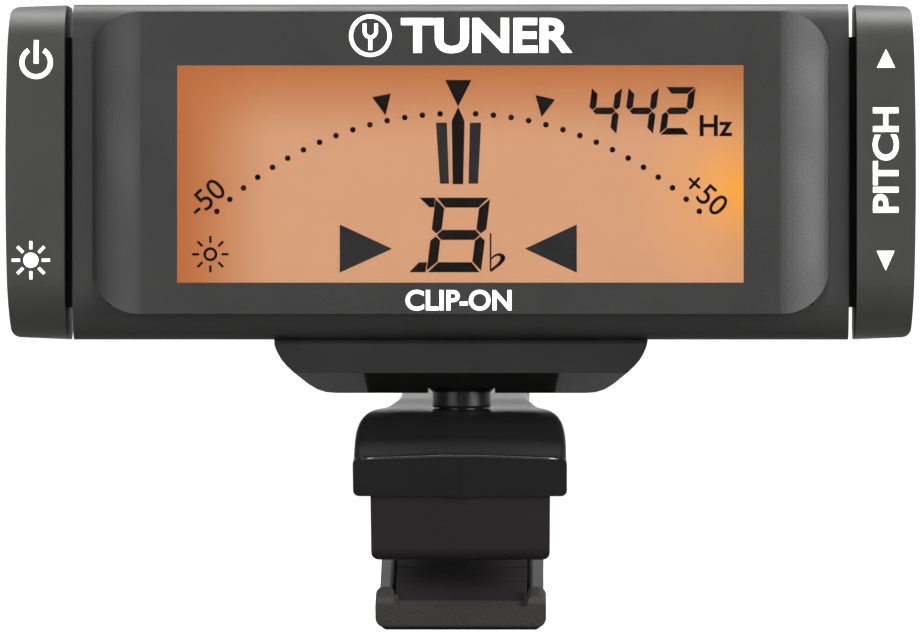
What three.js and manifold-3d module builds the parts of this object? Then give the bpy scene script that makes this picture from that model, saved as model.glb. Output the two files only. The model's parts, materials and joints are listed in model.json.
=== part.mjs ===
// Clip-on tuner: a display head on a ball stud, above a spring clip.
// Millimetres, +Z up, display facing -Y. The origin is the centre of the upper jaw pad's gripping face.
import * as THREE from 'three';
import { mergeVertices } from 'three/addons/utils/BufferGeometryUtils.js';
import Module from 'manifold-3d';

const wasm = await Module();
wasm.setup();

// ---- Driving dimensions ----

// Jaws: v runs back along the gripping faces and w away from them, both tilted forwards and down.
const JAW_TILT = THREE.MathUtils.degToRad(25);
const JAW_GAP = 3.4;
const PAD_HALF_LENGTH = 5;
const UPPER_PAD_HALF_WIDTH = 5.9;
const UPPER_PAD_FRONT = 4.5;
const UPPER_PAD_REAR = 1.9;
const LOWER_PAD_HALF_WIDTH = 4.35;
const LOWER_PAD_THICK = 1.4;
const LIP_HALF_WIDTH = 5.65;
const LOWER_ARM_HALF_WIDTH = 5.45;
const ARM_OVERHANG = 0.6;
const ARM_FRONT_TOP = 7.1;
const ARM_FRONT_HALF_WIDTH = 7.05;
const HANDLE_HALF_WIDTH = 4.4;
const HANDLE_END = 27;
const SEAT_GAP = 0.3;

// Hinge of the jaws.
const HINGE = { y: 12, z: 3.2 };
const PIN_RADIUS = 0.8;
const PIN_HALF_LENGTH = 4.35;
const PIN_CLEARANCE = 0.06;
const EAR_RADIUS = 2.2;
const UPPER_EAR = [3.3, 4.35];
const LOWER_EAR = [2.2, 3.1];
const SPRING_RADIUS = 1.75;
const SPRING_WIRE = 0.35;
const SPRING_TURNS = 3;
const SPRING_PITCH = 0.95;

// Stud between the clip and the head.
const NECK = { y: 0.4, z: 7.48 };
const NECK_RADIUS = 1.95;
const BALL_RADIUS = 3;
const BALL_HEIGHT = 3.42;
const STEM_RADIUS = 1.5;
const STEM_LENGTH = 2.2;
const SOCKET_CLEARANCE = 0.05;

// Head, in its own frame: x right, y back from the bezel's face, z up from the housing's middle.
const BALL_IN_HEAD = { y: 7, z: -12.3 };
const BODY_HALF_WIDTH = 25.5;
const BODY_HALF_HEIGHT = 11.1;
const SHOULDER_Y = 1.4;
const SPLIT_Y = 3.2;
const SPLIT_GAP = 0.1;
const BODY_BACK_Y = 9.5;
const WALL = 1.2;
const BOTTOM_ROLL = 1.7;
const TOP_ROLL = 0.6;
const BEZEL = { halfWidth: 24.35, bottom: -9.4, top: 10.5, corner: 3.2, roll: 2.95 };
const WINDOW = { halfWidth: 18.65, bottom: -7.34, top: 6.97, depth: 0.6 };
const LENS_MARGIN = 0.65;
const POD_HALF_WIDTH = 12.4;
const POD_BACK_Y = 14.5;
const POD_TOP = 11;
const FOOT = { front: 2.5, top: -11.35, edge: -13.3, bottom: -14.65, halfWidth: 8.8, flatHalf: 2.6 };
const FOOT_WALL = 0.85;
const CELL = { radius: 10, y: 11.1, thick: 3.2, z: 0.4 };
const COVER_THICK = 0.9;
const BOARD = { y: 5.2, thick: 0.8, halfWidth: 22.8, halfHeight: 9.3 };
const SCREW = { x: 21.6, z: 8, radius: 0.7, head: 1.25 };

// End keys and the switches under them.
const KEY_INNER_X = 26.1;
const KEY_OUTER_X = 30;
const KEY_HALF_HEIGHT = 11;
const KEY_Y = [0.6, 9.2];
const KEY_SKIRT_HALF_HEIGHT = 8.95;
const KEY_PIVOT_X = 24.1;
const KEY_PIN_RADIUS = 0.6;
const SWITCH_Z = 4.8;

const ROUND_STEPS = 24;
const WELD = 1e-4;

// ---- Materials ----

function material(color, roughness, metalness = 0) {
  return new THREE.MeshStandardMaterial({ color, roughness, metalness });
}

const satinBlack = material(0x3d3d3d, 0.55);
const glossBlack = material(0x1b1b1b, 0.25);
const rubberBlack = material(0x262425, 0.8);
const innerPlastic = material(0xd8d8d2, 0.5);
const steel = material(0xb9bcc0, 0.3, 1);
const clearPlastic = material(0xe8eef2, 0.1);
const amberPanel = material(0xd09a72, 0.4);
const boardGreen = material(0x1f6b3a, 0.5);
const chipBlack = material(0x161616, 0.5);
const ceramicTan = material(0xb89a70, 0.5);
const brass = material(0xc9a24a, 0.3, 1);

// ---- Solids: closed meshes joined and cut ----

// Merges shared corners and drops the triangles that collapse on an axis.
function weld(geometry) {
  const plain = geometry.clone();
  plain.deleteAttribute('normal');
  plain.deleteAttribute('uv');
  const merged = mergeVertices(plain, WELD);
  const corners = merged.index.array;
  const kept = [];
  for (let i = 0; i < corners.length; i += 3) {
    const [a, b, c] = [corners[i], corners[i + 1], corners[i + 2]];
    if (a !== b && b !== c && c !== a) kept.push(a, b, c);
  }
  merged.setIndex(kept);
  return merged;
}

function toSolid(geometry) {
  const welded = weld(geometry);
  return new wasm.Manifold(new wasm.Mesh({
    numProp: 3,
    vertProperties: new Float32Array(welded.attributes.position.array),
    triVerts: new Uint32Array(welded.index.array),
  }));
}

function toGeometry(solid) {
  const mesh = solid.getMesh();
  const geometry = new THREE.BufferGeometry();
  geometry.setAttribute('position', new THREE.BufferAttribute(new Float32Array(mesh.vertProperties), 3));
  geometry.setIndex(Array.from(mesh.triVerts));
  geometry.computeVertexNormals();
  return geometry;
}

const joined = (...solids) => solids.reduce((whole, solid) => whole.add(solid));
const cut = (whole, ...tools) => tools.reduce((left, tool) => left.subtract(tool), whole);

// ---- Solids from outlines ----

function polygon(points) {
  return new THREE.Shape(points.map(([a, b]) => new THREE.Vector2(a, b)));
}

function roundedRectangle([x0, x1], [z0, z1], radius) {
  const shape = new THREE.Shape();
  shape.absarc(x1 - radius, z0 + radius, radius, -Math.PI / 2, 0);
  shape.absarc(x1 - radius, z1 - radius, radius, 0, Math.PI / 2);
  shape.absarc(x0 + radius, z1 - radius, radius, Math.PI / 2, Math.PI);
  shape.absarc(x0 + radius, z0 + radius, radius, Math.PI, 1.5 * Math.PI);
  return shape;
}

function extruded(shape, depth) {
  return new THREE.ExtrudeGeometry(shape, { depth, bevelEnabled: false, curveSegments: 6 });
}

// An outline in (y, z), drawn out along x.
function alongX(shape, [x0, x1]) {
  const turn = new THREE.Matrix4().set(0, 0, 1, x0, 1, 0, 0, 0, 0, 1, 0, 0, 0, 0, 0, 1);
  return toSolid(extruded(shape, x1 - x0).applyMatrix4(turn));
}

// An outline in (x, z), drawn out along y.
function alongY(shape, [y0, y1]) {
  return toSolid(extruded(shape, y1 - y0).rotateX(Math.PI / 2).translate(0, y1, 0));
}

// An outline in (x, y), drawn out along z.
function alongZ(shape, [z0, z1]) {
  return toSolid(extruded(shape, z1 - z0).translate(0, 0, z0));
}

function block([x0, x1], [y0, y1], [z0, z1]) {
  const box = new THREE.BoxGeometry(x1 - x0, y1 - y0, z1 - z0);
  return toSolid(box.translate((x0 + x1) / 2, (y0 + y1) / 2, (z0 + z1) / 2));
}

// A round rod along x, y or z, from one end to the other, centred on the other two coordinates.
function rod(axis, radius, [from, to], [a, b], steps = ROUND_STEPS) {
  const cylinder = new THREE.CylinderGeometry(radius, radius, to - from, steps);
  const middle = (from + to) / 2;
  if (axis === 'x') return toSolid(cylinder.rotateZ(Math.PI / 2).translate(middle, a, b));
  if (axis === 'z') return toSolid(cylinder.rotateX(Math.PI / 2).translate(a, b, middle));
  return toSolid(cylinder.translate(a, middle, b));
}

function ball(radius, { y, z }) {
  return toSolid(new THREE.SphereGeometry(radius, ROUND_STEPS, 16).translate(0, y, z));
}

function piece(name, solid, look) {
  const mesh = new THREE.Mesh(toGeometry(solid), look);
  mesh.name = name;
  return mesh;
}

// The same solid on the other side of the plane x = 0.
function mirrored(solid) {
  return solid.mirror([1, 0, 0]);
}

// ---- Clip ----

// A point of the jaws' tilted frame as (y, z).
function jaw(v, w) {
  return [
    v * Math.cos(JAW_TILT) - w * Math.sin(JAW_TILT),
    v * Math.sin(JAW_TILT) + w * Math.cos(JAW_TILT),
  ];
}

const JAW_FRONT = -PAD_HALF_LENGTH - ARM_OVERHANG;

// The upper arm from the side: the front drops over the jaw, the handle runs back and slightly up.
function upperArmSide() {
  const shape = new THREE.Shape();
  const [frontY, frontZ] = jaw(JAW_FRONT, ARM_FRONT_TOP);
  shape.moveTo(...jaw(JAW_FRONT, UPPER_PAD_FRONT));
  shape.lineTo(...jaw(-PAD_HALF_LENGTH - SEAT_GAP, UPPER_PAD_FRONT));
  shape.lineTo(...jaw(-PAD_HALF_LENGTH - SEAT_GAP, UPPER_PAD_FRONT + SEAT_GAP));
  shape.lineTo(...jaw(PAD_HALF_LENGTH + SEAT_GAP, UPPER_PAD_REAR + SEAT_GAP));
  shape.lineTo(4.9, 5.9);
  shape.lineTo(9.5, 6.1);
  shape.lineTo(HANDLE_END - 0.8, 8);
  shape.absarc(HANDLE_END - 0.8, 8.8, 0.8, -Math.PI / 2, Math.PI / 2);
  shape.lineTo(8, 8.15);
  shape.lineTo(NECK.y + 2.4, NECK.z);
  shape.lineTo(NECK.y - 2.4, NECK.z);
  shape.bezierCurveTo(-3.9, 7.2, -6.2, 6, frontY, frontZ);
  return shape;
}

// Half of the upper arm's outline from above, as [y, half width] from the handle's end to the front.
const ARM_PLAN = [
  [HANDLE_END, HANDLE_HALF_WIDTH - 2], [HANDLE_END - 2, HANDLE_HALF_WIDTH], [8, 4.45], [3, 4.75],
  [0, 5.15], [-2, 5.6], [-3, 6], [-4, 6.4], [-5, 6.72], [-6.3, 6.95], [-9, ARM_FRONT_HALF_WIDTH],
];

function armPlan(points) {
  const right = points.map(([y, halfWidth]) => [halfWidth, y]);
  const left = points.map(([y, halfWidth]) => [-halfWidth, y]).reverse();
  return polygon([...left, ...right]);
}

function upperArm() {
  const blank = alongX(upperArmSide(), [-ARM_FRONT_HALF_WIDTH, ARM_FRONT_HALF_WIDTH])
    .intersect(alongZ(armPlan(ARM_PLAN), [-2, 12]));
  const earWeb = block(UPPER_EAR, [HINGE.y - EAR_RADIUS, HINGE.y + EAR_RADIUS], [HINGE.z, 7]);
  const ear = cut(
    joined(rod('x', EAR_RADIUS, UPPER_EAR, [HINGE.y, HINGE.z]), earWeb),
    rod('x', PIN_RADIUS + PIN_CLEARANCE, [UPPER_EAR[0] - 1, UPPER_EAR[1] + 1], [HINGE.y, HINGE.z]),
  );
  const screwWell = rod('z', 2.6, [2, NECK.z - STEM_LENGTH], [0, NECK.y]);
  const stemHole = rod('z', STEM_RADIUS + PIN_CLEARANCE, [2, NECK.z + 1], [0, NECK.y]);
  return cut(joined(blank, ear, mirrored(ear)), screwWell, stemHole);
}

function upperPad() {
  const side = polygon([
    jaw(-PAD_HALF_LENGTH, 0), jaw(PAD_HALF_LENGTH, 0),
    jaw(PAD_HALF_LENGTH, UPPER_PAD_REAR), jaw(-PAD_HALF_LENGTH, UPPER_PAD_FRONT),
  ]);
  return alongX(side, [-UPPER_PAD_HALF_WIDTH, UPPER_PAD_HALF_WIDTH]);
}

const LOWER_FACE = -JAW_GAP;
const LOWER_FLOOR = LOWER_FACE - LOWER_PAD_THICK;

// The lower arm from the side: the floor under the pad, then down and back as the lower handle.
function lowerArmSide() {
  return polygon([
    jaw(-5.2, LOWER_FLOOR - SEAT_GAP), jaw(PAD_HALF_LENGTH + 1.2, LOWER_FLOOR - SEAT_GAP), [12, -0.4],
    [HANDLE_END - 0.3, -4], [HANDLE_END, -4.8], [HANDLE_END - 0.8, -5.6],
    [12, -2.6], jaw(PAD_HALF_LENGTH, -6.6), jaw(-2, -6.3), jaw(-5.2, -5.5),
  ]);
}

function lowerArm() {
  const plan = armPlan([
    [HANDLE_END, HANDLE_HALF_WIDTH - 2], [HANDLE_END - 2, HANDLE_HALF_WIDTH], [9, 4.5],
    [6.5, LOWER_ARM_HALF_WIDTH], [-4, LOWER_ARM_HALF_WIDTH],
  ]);
  const blank = alongX(lowerArmSide(), [-LOWER_ARM_HALF_WIDTH, LOWER_ARM_HALF_WIDTH])
    .intersect(alongZ(plan, [-9, 6]));
  const wallSide = polygon([
    jaw(-4.1, LOWER_FACE - 0.2), jaw(PAD_HALF_LENGTH + 0.9, LOWER_FACE - 0.2),
    jaw(PAD_HALF_LENGTH + 1.2, LOWER_FLOOR - 0.8), jaw(-4.1, LOWER_FLOOR - 0.8),
  ]);
  const wall = alongX(wallSide, [LOWER_PAD_HALF_WIDTH + 0.1, LOWER_ARM_HALF_WIDTH]);
  const web = polygon([[HINGE.y - 2, HINGE.z], [HINGE.y + 2, HINGE.z], [14.6, -1.5], [9.6, -2]]);
  const ear = cut(
    joined(rod('x', EAR_RADIUS, LOWER_EAR, [HINGE.y, HINGE.z]), alongX(web, LOWER_EAR)),
    rod('x', PIN_RADIUS + PIN_CLEARANCE, [LOWER_EAR[0] - 1, LOWER_EAR[1] + 1], [HINGE.y, HINGE.z]),
  );
  return joined(blank, wall, mirrored(wall), ear, mirrored(ear));
}

// The lower pad: a flat gripping face, and a lip that wraps the arm's front with raised ends.
function lowerPad() {
  const faceSide = polygon([
    jaw(-PAD_HALF_LENGTH, LOWER_FLOOR), jaw(PAD_HALF_LENGTH, LOWER_FLOOR),
    jaw(PAD_HALF_LENGTH, LOWER_FACE), jaw(-PAD_HALF_LENGTH, LOWER_FACE),
  ]);
  const lipSide = (top) => polygon([
    jaw(-6, LOWER_FLOOR - 0.1), jaw(-5.4, LOWER_FLOOR - 0.1), jaw(-5.4, LOWER_FLOOR),
    jaw(-4.3, LOWER_FLOOR), jaw(-4.3, top), jaw(-6, top),
  ]);
  const lipEnd = alongX(lipSide(LOWER_FACE + 0.65), [LOWER_PAD_HALF_WIDTH + 0.35, LIP_HALF_WIDTH]);
  return joined(
    alongX(faceSide, [-LOWER_PAD_HALF_WIDTH, LOWER_PAD_HALF_WIDTH]),
    alongX(lipSide(LOWER_FACE), [-LIP_HALF_WIDTH, LIP_HALF_WIDTH]),
    lipEnd,
    mirrored(lipEnd),
  );
}

// A torsion spring: a coil round the pin, with a leg along each handle.
function torsionSpring() {
  const points = [];
  const stepsPerTurn = 12;
  const halfSpan = (SPRING_TURNS * SPRING_PITCH) / 2;
  const steps = SPRING_TURNS * stepsPerTurn + stepsPerTurn / 2;
  points.push(new THREE.Vector3(-halfSpan, 19.5, -1.35));
  points.push(new THREE.Vector3(-halfSpan, 16, -0.35));
  for (let i = 0; i <= steps; i += 1) {
    const angle = -Math.PI / 2 - (i / stepsPerTurn) * 2 * Math.PI;
    const x = -halfSpan + (i / steps) * 2 * halfSpan;
    points.push(new THREE.Vector3(
      x, HINGE.y + SPRING_RADIUS * Math.cos(angle), HINGE.z + SPRING_RADIUS * Math.sin(angle),
    ));
  }
  points.push(new THREE.Vector3(halfSpan, 16, 5.6));
  points.push(new THREE.Vector3(halfSpan, 19.5, 6.35));
  const wire = new THREE.Shape();
  wire.absarc(0, 0, SPRING_WIRE, 0, 2 * Math.PI);
  return toSolid(new THREE.ExtrudeGeometry(wire, {
    extrudePath: new THREE.CatmullRomCurve3(points), steps: 80, curveSegments: 4, bevelEnabled: false,
  }));
}

// ---- Stud ----

// Turned about the neck's axis: stem, neck and ball, measured up from the arm's top.
function ballStud() {
  const meet = Math.asin(NECK_RADIUS / BALL_RADIUS);
  const profile = [
    [0, -STEM_LENGTH + 0.05], [STEM_RADIUS, -STEM_LENGTH + 0.05], [STEM_RADIUS, 0.06], [NECK_RADIUS, 0.06],
  ].map(([r, z]) => new THREE.Vector2(r, z));
  const arcSteps = 14;
  for (let i = 0; i <= arcSteps; i += 1) {
    const angle = meet + (i / arcSteps) * (Math.PI - meet);
    const radius = i === arcSteps ? 0 : BALL_RADIUS * Math.sin(angle);
    profile.push(new THREE.Vector2(radius, BALL_HEIGHT - BALL_RADIUS * Math.cos(angle)));
  }
  const turned = new THREE.LatheGeometry(profile, ROUND_STEPS).rotateX(Math.PI / 2);
  const solid = toSolid(turned.translate(0, NECK.y, NECK.z));
  const screwHole = rod('z', 0.65, [NECK.z - STEM_LENGTH - 1, NECK.z + 1.2], [0, NECK.y], 16);
  return cut(solid, screwHole);
}

function stud() {
  const washerTop = NECK.z - STEM_LENGTH - 0.03;
  const washer = cut(
    rod('z', 2.3, [washerTop - 0.4, washerTop], [0, NECK.y]),
    rod('z', 0.7, [washerTop - 1, washerTop + 1], [0, NECK.y], 16),
  );
  const screw = joined(
    rod('z', 1.3, [washerTop - 1.2, washerTop - 0.45], [0, NECK.y], 16),
    rod('z', 0.6, [washerTop - 0.5, NECK.z + 1.1], [0, NECK.y], 16),
  );
  return [
    piece('ball_stud', ballStud(), glossBlack),
    piece('stud_washer', washer, steel),
    piece('stud_screw', screw, steel),
  ];
}

function clip() {
  const group = new THREE.Group();
  const pin = rod('x', PIN_RADIUS, [-PIN_HALF_LENGTH, PIN_HALF_LENGTH], [HINGE.y, HINGE.z]);
  group.add(
    piece('upper_arm', upperArm(), glossBlack),
    piece('upper_pad', upperPad(), rubberBlack),
    piece('hinge_pin', pin, steel),
    piece('torsion_spring', torsionSpring(), steel),
    piece('lower_arm', lowerArm(), glossBlack),
    piece('lower_pad', lowerPad(), rubberBlack),
    ...stud(),
  );
  return group;
}

// ---- Head housings ----

const SCREW_SPOTS = [[-1, 1], [1, 1], [-1, -1], [1, -1]].map(([sx, sz]) => [sx * SCREW.x, sz * SCREW.z]);

// The front housing: a shoulder slab with rolled long edges, and the raised bezel round the window.
function frontHousing() {
  const [top, bottom] = [BODY_HALF_HEIGHT, -BODY_HALF_HEIGHT];
  const slabSide = new THREE.Shape();
  slabSide.moveTo(SPLIT_Y, bottom);
  slabSide.absarc(SHOULDER_Y + BOTTOM_ROLL, bottom + BOTTOM_ROLL, BOTTOM_ROLL, -Math.PI / 2, -Math.PI, true);
  slabSide.absarc(SHOULDER_Y + TOP_ROLL, top - TOP_ROLL, TOP_ROLL, Math.PI, Math.PI / 2, true);
  slabSide.lineTo(SPLIT_Y, top);
  const slab = alongX(slabSide, [-BODY_HALF_WIDTH, BODY_HALF_WIDTH]);

  const face = roundedRectangle([-BEZEL.halfWidth, BEZEL.halfWidth], [BEZEL.bottom, BEZEL.top], BEZEL.corner);
  const flat = BEZEL.halfWidth - BEZEL.roll;
  const rollPlan = new THREE.Shape();
  rollPlan.moveTo(-BEZEL.halfWidth, SHOULDER_Y + 0.4);
  rollPlan.lineTo(BEZEL.halfWidth, SHOULDER_Y + 0.4);
  rollPlan.absellipse(flat, SHOULDER_Y, BEZEL.roll, SHOULDER_Y, 0, -Math.PI / 2, true);
  rollPlan.absellipse(-flat, SHOULDER_Y, BEZEL.roll, SHOULDER_Y, -Math.PI / 2, -Math.PI, true);
  const bezel = alongY(face, [0, SHOULDER_Y + 0.4]).intersect(alongZ(rollPlan, [-12, 12]));

  const pocket = block([-23.3, 23.3], [SHOULDER_Y, SPLIT_Y + 1], [-8.8, 9.8]);
  const { halfWidth, bottom: low, top: high, depth } = WINDOW;
  const window = block([-halfWidth, halfWidth], [-1, 3], [low, high]);
  const lensSeat = block(
    [-halfWidth - LENS_MARGIN, halfWidth + LENS_MARGIN], [depth, 3], [low - LENS_MARGIN, high + LENS_MARGIN],
  );
  const bosses = SCREW_SPOTS.map((spot) => rod('y', 1.25, [SHOULDER_Y - 0.1, BOARD.y - 0.15], spot, 16));
  const holes = SCREW_SPOTS.map((spot) => rod('y', SCREW.radius + 0.06, [2.2, 6], spot, 12));
  const pinHoles = [-1, 1].map((side) => rod('y', KEY_PIN_RADIUS + 0.05, [2.2, 4], [side * KEY_PIVOT_X, 0], 16));
  return cut(joined(cut(joined(slab, bezel), pocket, window, lensSeat), ...bosses), ...holes, ...pinHoles);
}

// The pod on the back of the head, seen from the front: its foot narrows to a flat under the head.
function podOutline(inset = 0) {
  const shape = new THREE.Shape();
  const halfWidth = POD_HALF_WIDTH - inset;
  const low = FOOT.bottom + inset;
  const high = POD_TOP - inset;
  const flat = FOOT.halfWidth - inset * 0.5;
  shape.moveTo(-flat, low);
  shape.lineTo(flat, low);
  shape.bezierCurveTo(10.2 - inset, low, 10.7 - inset, -13.7 + inset, 11.2 - inset, -13);
  shape.bezierCurveTo(11.8 - inset, -12.2, halfWidth, -11.6, halfWidth, -10.2);
  shape.absarc(halfWidth - 5, high - 5, 5, 0, Math.PI / 2);
  shape.absarc(-halfWidth + 5, high - 5, 5, Math.PI / 2, Math.PI);
  shape.bezierCurveTo(-halfWidth, -11.6, -11.8 + inset, -12.2, -11.2 + inset, -13);
  shape.bezierCurveTo(-10.7 + inset, -13.7 + inset, -10.2 + inset, low, -flat, low);
  return shape;
}

function podSide(inset = 0) {
  const { front, top, edge, bottom, flatHalf } = FOOT;
  return polygon([
    [front + inset, top], [front + inset, edge + inset * 0.5],
    [BALL_IN_HEAD.y - flatHalf + inset * 0.5, bottom + inset],
    [BALL_IN_HEAD.y + flatHalf, bottom + inset],
    [POD_BACK_Y, -10.6], [POD_BACK_Y, POD_TOP], [9, POD_TOP], [9, -10.4], [SPLIT_Y + SPLIT_GAP, -10.4],
    [SPLIT_Y + SPLIT_GAP, top],
  ]);
}

const SOCKET_HALF = { x: 4.3, top: -8.75, front: 3.45, back: 10.6 };

function rearHousing() {
  const shell = block(
    [-BODY_HALF_WIDTH, BODY_HALF_WIDTH], [SPLIT_Y + SPLIT_GAP, BODY_BACK_Y], [-BODY_HALF_HEIGHT, BODY_HALF_HEIGHT],
  );
  const pod = alongX(podSide(), [-POD_HALF_WIDTH, POD_HALF_WIDTH]).intersect(alongY(podOutline(), [2, 15]));
  const inside = block([-24.3, 24.3], [2, BODY_BACK_Y - WALL], [-9.9, 9.9]);
  const keyOpening = block([24, 26], [2, BODY_BACK_Y - WALL], [-9.4, 9.4]);
  const footInside = block([-9.6, 9.6], [FOOT.front + FOOT_WALL, 10.7], [FOOT.bottom + FOOT_WALL, -9.8]);
  const cellBay = rod('y', CELL.radius + 0.15, [10.9, 16], [0, CELL.z], 48);
  const contactSlot = block([9.4, 10.9], [10.9, 16], [-1.6, 3.4]);
  const neckSlot = block([-2.25, 2.25], [BALL_IN_HEAD.y - 3.05, BALL_IN_HEAD.y + 3.05], [-16, -12]);
  const bosses = SCREW_SPOTS.map((spot) => rod('y', 1.7, [BOARD.y + BOARD.thick + 0.1, BODY_BACK_Y - 0.2], spot, 16));
  const holes = SCREW_SPOTS.flatMap((spot) => [
    rod('y', SCREW.radius + 0.06, [5, 10], spot, 12),
    rod('y', SCREW.head + 0.15, [BODY_BACK_Y - 1.3, 10], spot, 16),
  ]);
  const pinHoles = [-1, 1].map((side) => rod('y', KEY_PIN_RADIUS + 0.05, [7, 9], [side * KEY_PIVOT_X, 0], 16));
  const hollow = cut(
    joined(shell, pod), inside, keyOpening, mirrored(keyOpening), footInside, cellBay, contactSlot, neckSlot,
    ball(BALL_RADIUS + 0.1, BALL_IN_HEAD),
  );
  return cut(joined(hollow, ...bosses), ...holes, ...pinHoles);
}

function batteryCover() {
  const shape = roundedRectangle([-12.1, 12.1], [-10.3, POD_TOP - 0.1], 4.8);
  const plate = alongY(shape, [POD_BACK_Y + 0.1, POD_BACK_Y + 0.1 + COVER_THICK]);
  const ring = cut(
    rod('y', CELL.radius - 0.1, [POD_BACK_Y - 0.1, POD_BACK_Y + 0.3], [0, CELL.z], 48),
    rod('y', CELL.radius - 1, [POD_BACK_Y - 1, POD_BACK_Y + 0.1], [0, CELL.z], 48),
  );
  const coinSlot = block([-3.5, 3.5], [POD_BACK_Y + 0.6, POD_BACK_Y + 2], [CELL.z - 0.7, CELL.z + 0.7]);
  return cut(joined(plate, ring), coinSlot);
}

// Front and rear halves of the cup that grips the ball.
function socketHalves() {
  const { x, top, front, back } = SOCKET_HALF;
  const bottom = FOOT.bottom + FOOT_WALL + 0.05;
  const cavity = ball(BALL_RADIUS + SOCKET_CLEARANCE, BALL_IN_HEAD);
  const slot = block([-2.25, 2.25], [BALL_IN_HEAD.y - 3.05, BALL_IN_HEAD.y + 3.05], [-16, -12.6]);
  const half = (range) => cut(block([-x, x], range, [bottom, top]), cavity, slot);
  const overBay = block([-x - 1, x + 1], [BODY_BACK_Y - WALL - 0.1, back + 1], [-9.9, top + 1]);
  return [half([front, BALL_IN_HEAD.y - 0.03]), cut(half([BALL_IN_HEAD.y + 0.03, back]), overBay)];
}

// ---- Display, board and power ----

function displayStack() {
  const { halfWidth, bottom, top, depth } = WINDOW;
  const margin = LENS_MARGIN - 0.08;
  const lens = block([-halfWidth - margin, halfWidth + margin], [depth + 0.05, 1.35], [bottom - margin, top + margin]);
  const frame = cut(block([-20.2, 20.2], [1.5, 5.05], [-8.6, 8.2]), block([-19.5, 19.5], [1, 6], [-8.1, 7.7]));
  const led = block([19.05, 19.45], [3.5, 4.2], [-2.2, -0.4]);
  return [
    piece('display_window', lens, clearPlastic),
    piece('lcd_panel', block([-19.4, 19.4], [1.55, 3.05], [-8, 7.6]), amberPanel),
    piece('lcd_frame', frame, innerPlastic),
    piece('light_guide', block([-19.4, 18.95], [3.15, 4.4], [-6.8, 7.6]), clearPlastic),
    piece('reflector_sheet', block([-19.4, 18.95], [4.5, 4.65], [-6.8, 7.6]), innerPlastic),
    piece('backlight_led', led, innerPlastic),
    piece('zebra_connector', block([-17, 17], [3.1, 5.15], [-8, -7]), rubberBlack),
  ];
}

function circuitBoard() {
  const { y, thick, halfWidth, halfHeight } = BOARD;
  const range = [y, y + thick];
  const plate = block([-halfWidth, halfWidth], range, [-halfHeight, halfHeight]);
  const notch = block([-4.8, 4.8], [y - 1, y + 2], [-10, -8.2]);
  const holes = SCREW_SPOTS.map((spot) => rod('y', SCREW.radius + 0.1, [y - 1, y + 2], spot, 12));
  return cut(plate, notch, ...holes);
}

function boardParts() {
  const face = BOARD.y + BOARD.thick + 0.05;
  const chip = (name, [x, z], [w, h], thick, look) => piece(
    name, block([x - w / 2, x + w / 2], [face, face + thick], [z - h / 2, z + h / 2]), look,
  );
  return [
    piece('circuit_board', circuitBoard(), boardGreen),
    chip('microcontroller', [0, 2], [7, 7], 1.1, chipBlack),
    chip('crystal', [-7.5, 2], [1.6, 3.4], 0.9, steel),
    chip('capacitor_1', [6, 4.5], [1.6, 0.8], 0.8, ceramicTan),
    chip('capacitor_2', [6, 2], [1.6, 0.8], 0.8, ceramicTan),
    chip('capacitor_3', [6, -0.5], [1.6, 0.8], 0.8, ceramicTan),
  ];
}

function power() {
  const cell = rod('y', CELL.radius, [CELL.y, CELL.y + CELL.thick], [0, CELL.z], 48);
  return [
    piece('coin_cell', cell, steel),
    piece('minus_contact', block([-4, 4], [10.93, 11.05], [-1.5, 1.5]), brass),
    piece('plus_contact', block([10.15, 10.4], [11.2, 14], [-1.2, 3]), brass),
  ];
}

function pickUp() {
  const floor = FOOT.bottom + FOOT_WALL;
  const disc = rod('z', 2.4, [floor + 0.05, floor + 0.35], [-7, 7]);
  const foam = rod('z', 2.2, [floor + 0.4, floor + 1.4], [-7, 7]);
  return [piece('piezo_sensor', disc, brass), piece('sensor_foam', foam, rubberBlack)];
}

// ---- Keys and switches ----

// The right key: a hollow cap outside the housing, with a skirt, a pivot lug and two posts inside it.
function key() {
  const outline = roundedRectangle([KEY_INNER_X, KEY_OUTER_X], [-KEY_HALF_HEIGHT, KEY_HALF_HEIGHT], 0.6);
  const side = roundedRectangle(KEY_Y, [-KEY_HALF_HEIGHT, KEY_HALF_HEIGHT], 1.4);
  const cap = alongY(outline, KEY_Y).intersect(alongX(side, [20, 31]));
  const skirt = block([24.9, KEY_INNER_X + 0.2], [3.7, 7.9], [-KEY_SKIRT_HALF_HEIGHT, KEY_SKIRT_HALF_HEIGHT]);
  const hollow = block([24, KEY_OUTER_X - 1.2], [4.5, 7.1], [-8.1, 8.1]);
  const lug = joined(
    rod('y', 1.1, [4.2, 7.4], [KEY_PIVOT_X, 0], 16), block([KEY_PIVOT_X, 29], [4.2, 7.4], [-1.1, 1.1]),
  );
  const posts = [-1, 1].map((end) => block([23.75, 29], [6.3, 7.2], [end * SWITCH_Z - 0.6, end * SWITCH_Z + 0.6]));
  const pinHole = rod('y', KEY_PIN_RADIUS + 0.08, [3, 9], [KEY_PIVOT_X, 0], 16);
  return cut(joined(cut(joined(cap, skirt), hollow), lug, ...posts), pinHole);
}

function keyPin() {
  return rod('y', KEY_PIN_RADIUS, [2.3, 8.85], [KEY_PIVOT_X, 0], 16);
}

// A tact switch of the right side: a body on the board with a plunger that faces the key's post.
function switchBody(end) {
  const z = end * SWITCH_Z;
  const body = block([20.4, 22.9], [6.05, 7.8], [z - 1.3, z + 1.3]);
  return cut(body, block([21.6, 24], [6.45, 7.35], [z - 0.65, z + 0.65]));
}

function plunger(end) {
  const z = end * SWITCH_Z;
  return block([21.95, 23.65], [6.55, 7.25], [z - 0.55, z + 0.55]);
}

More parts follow.
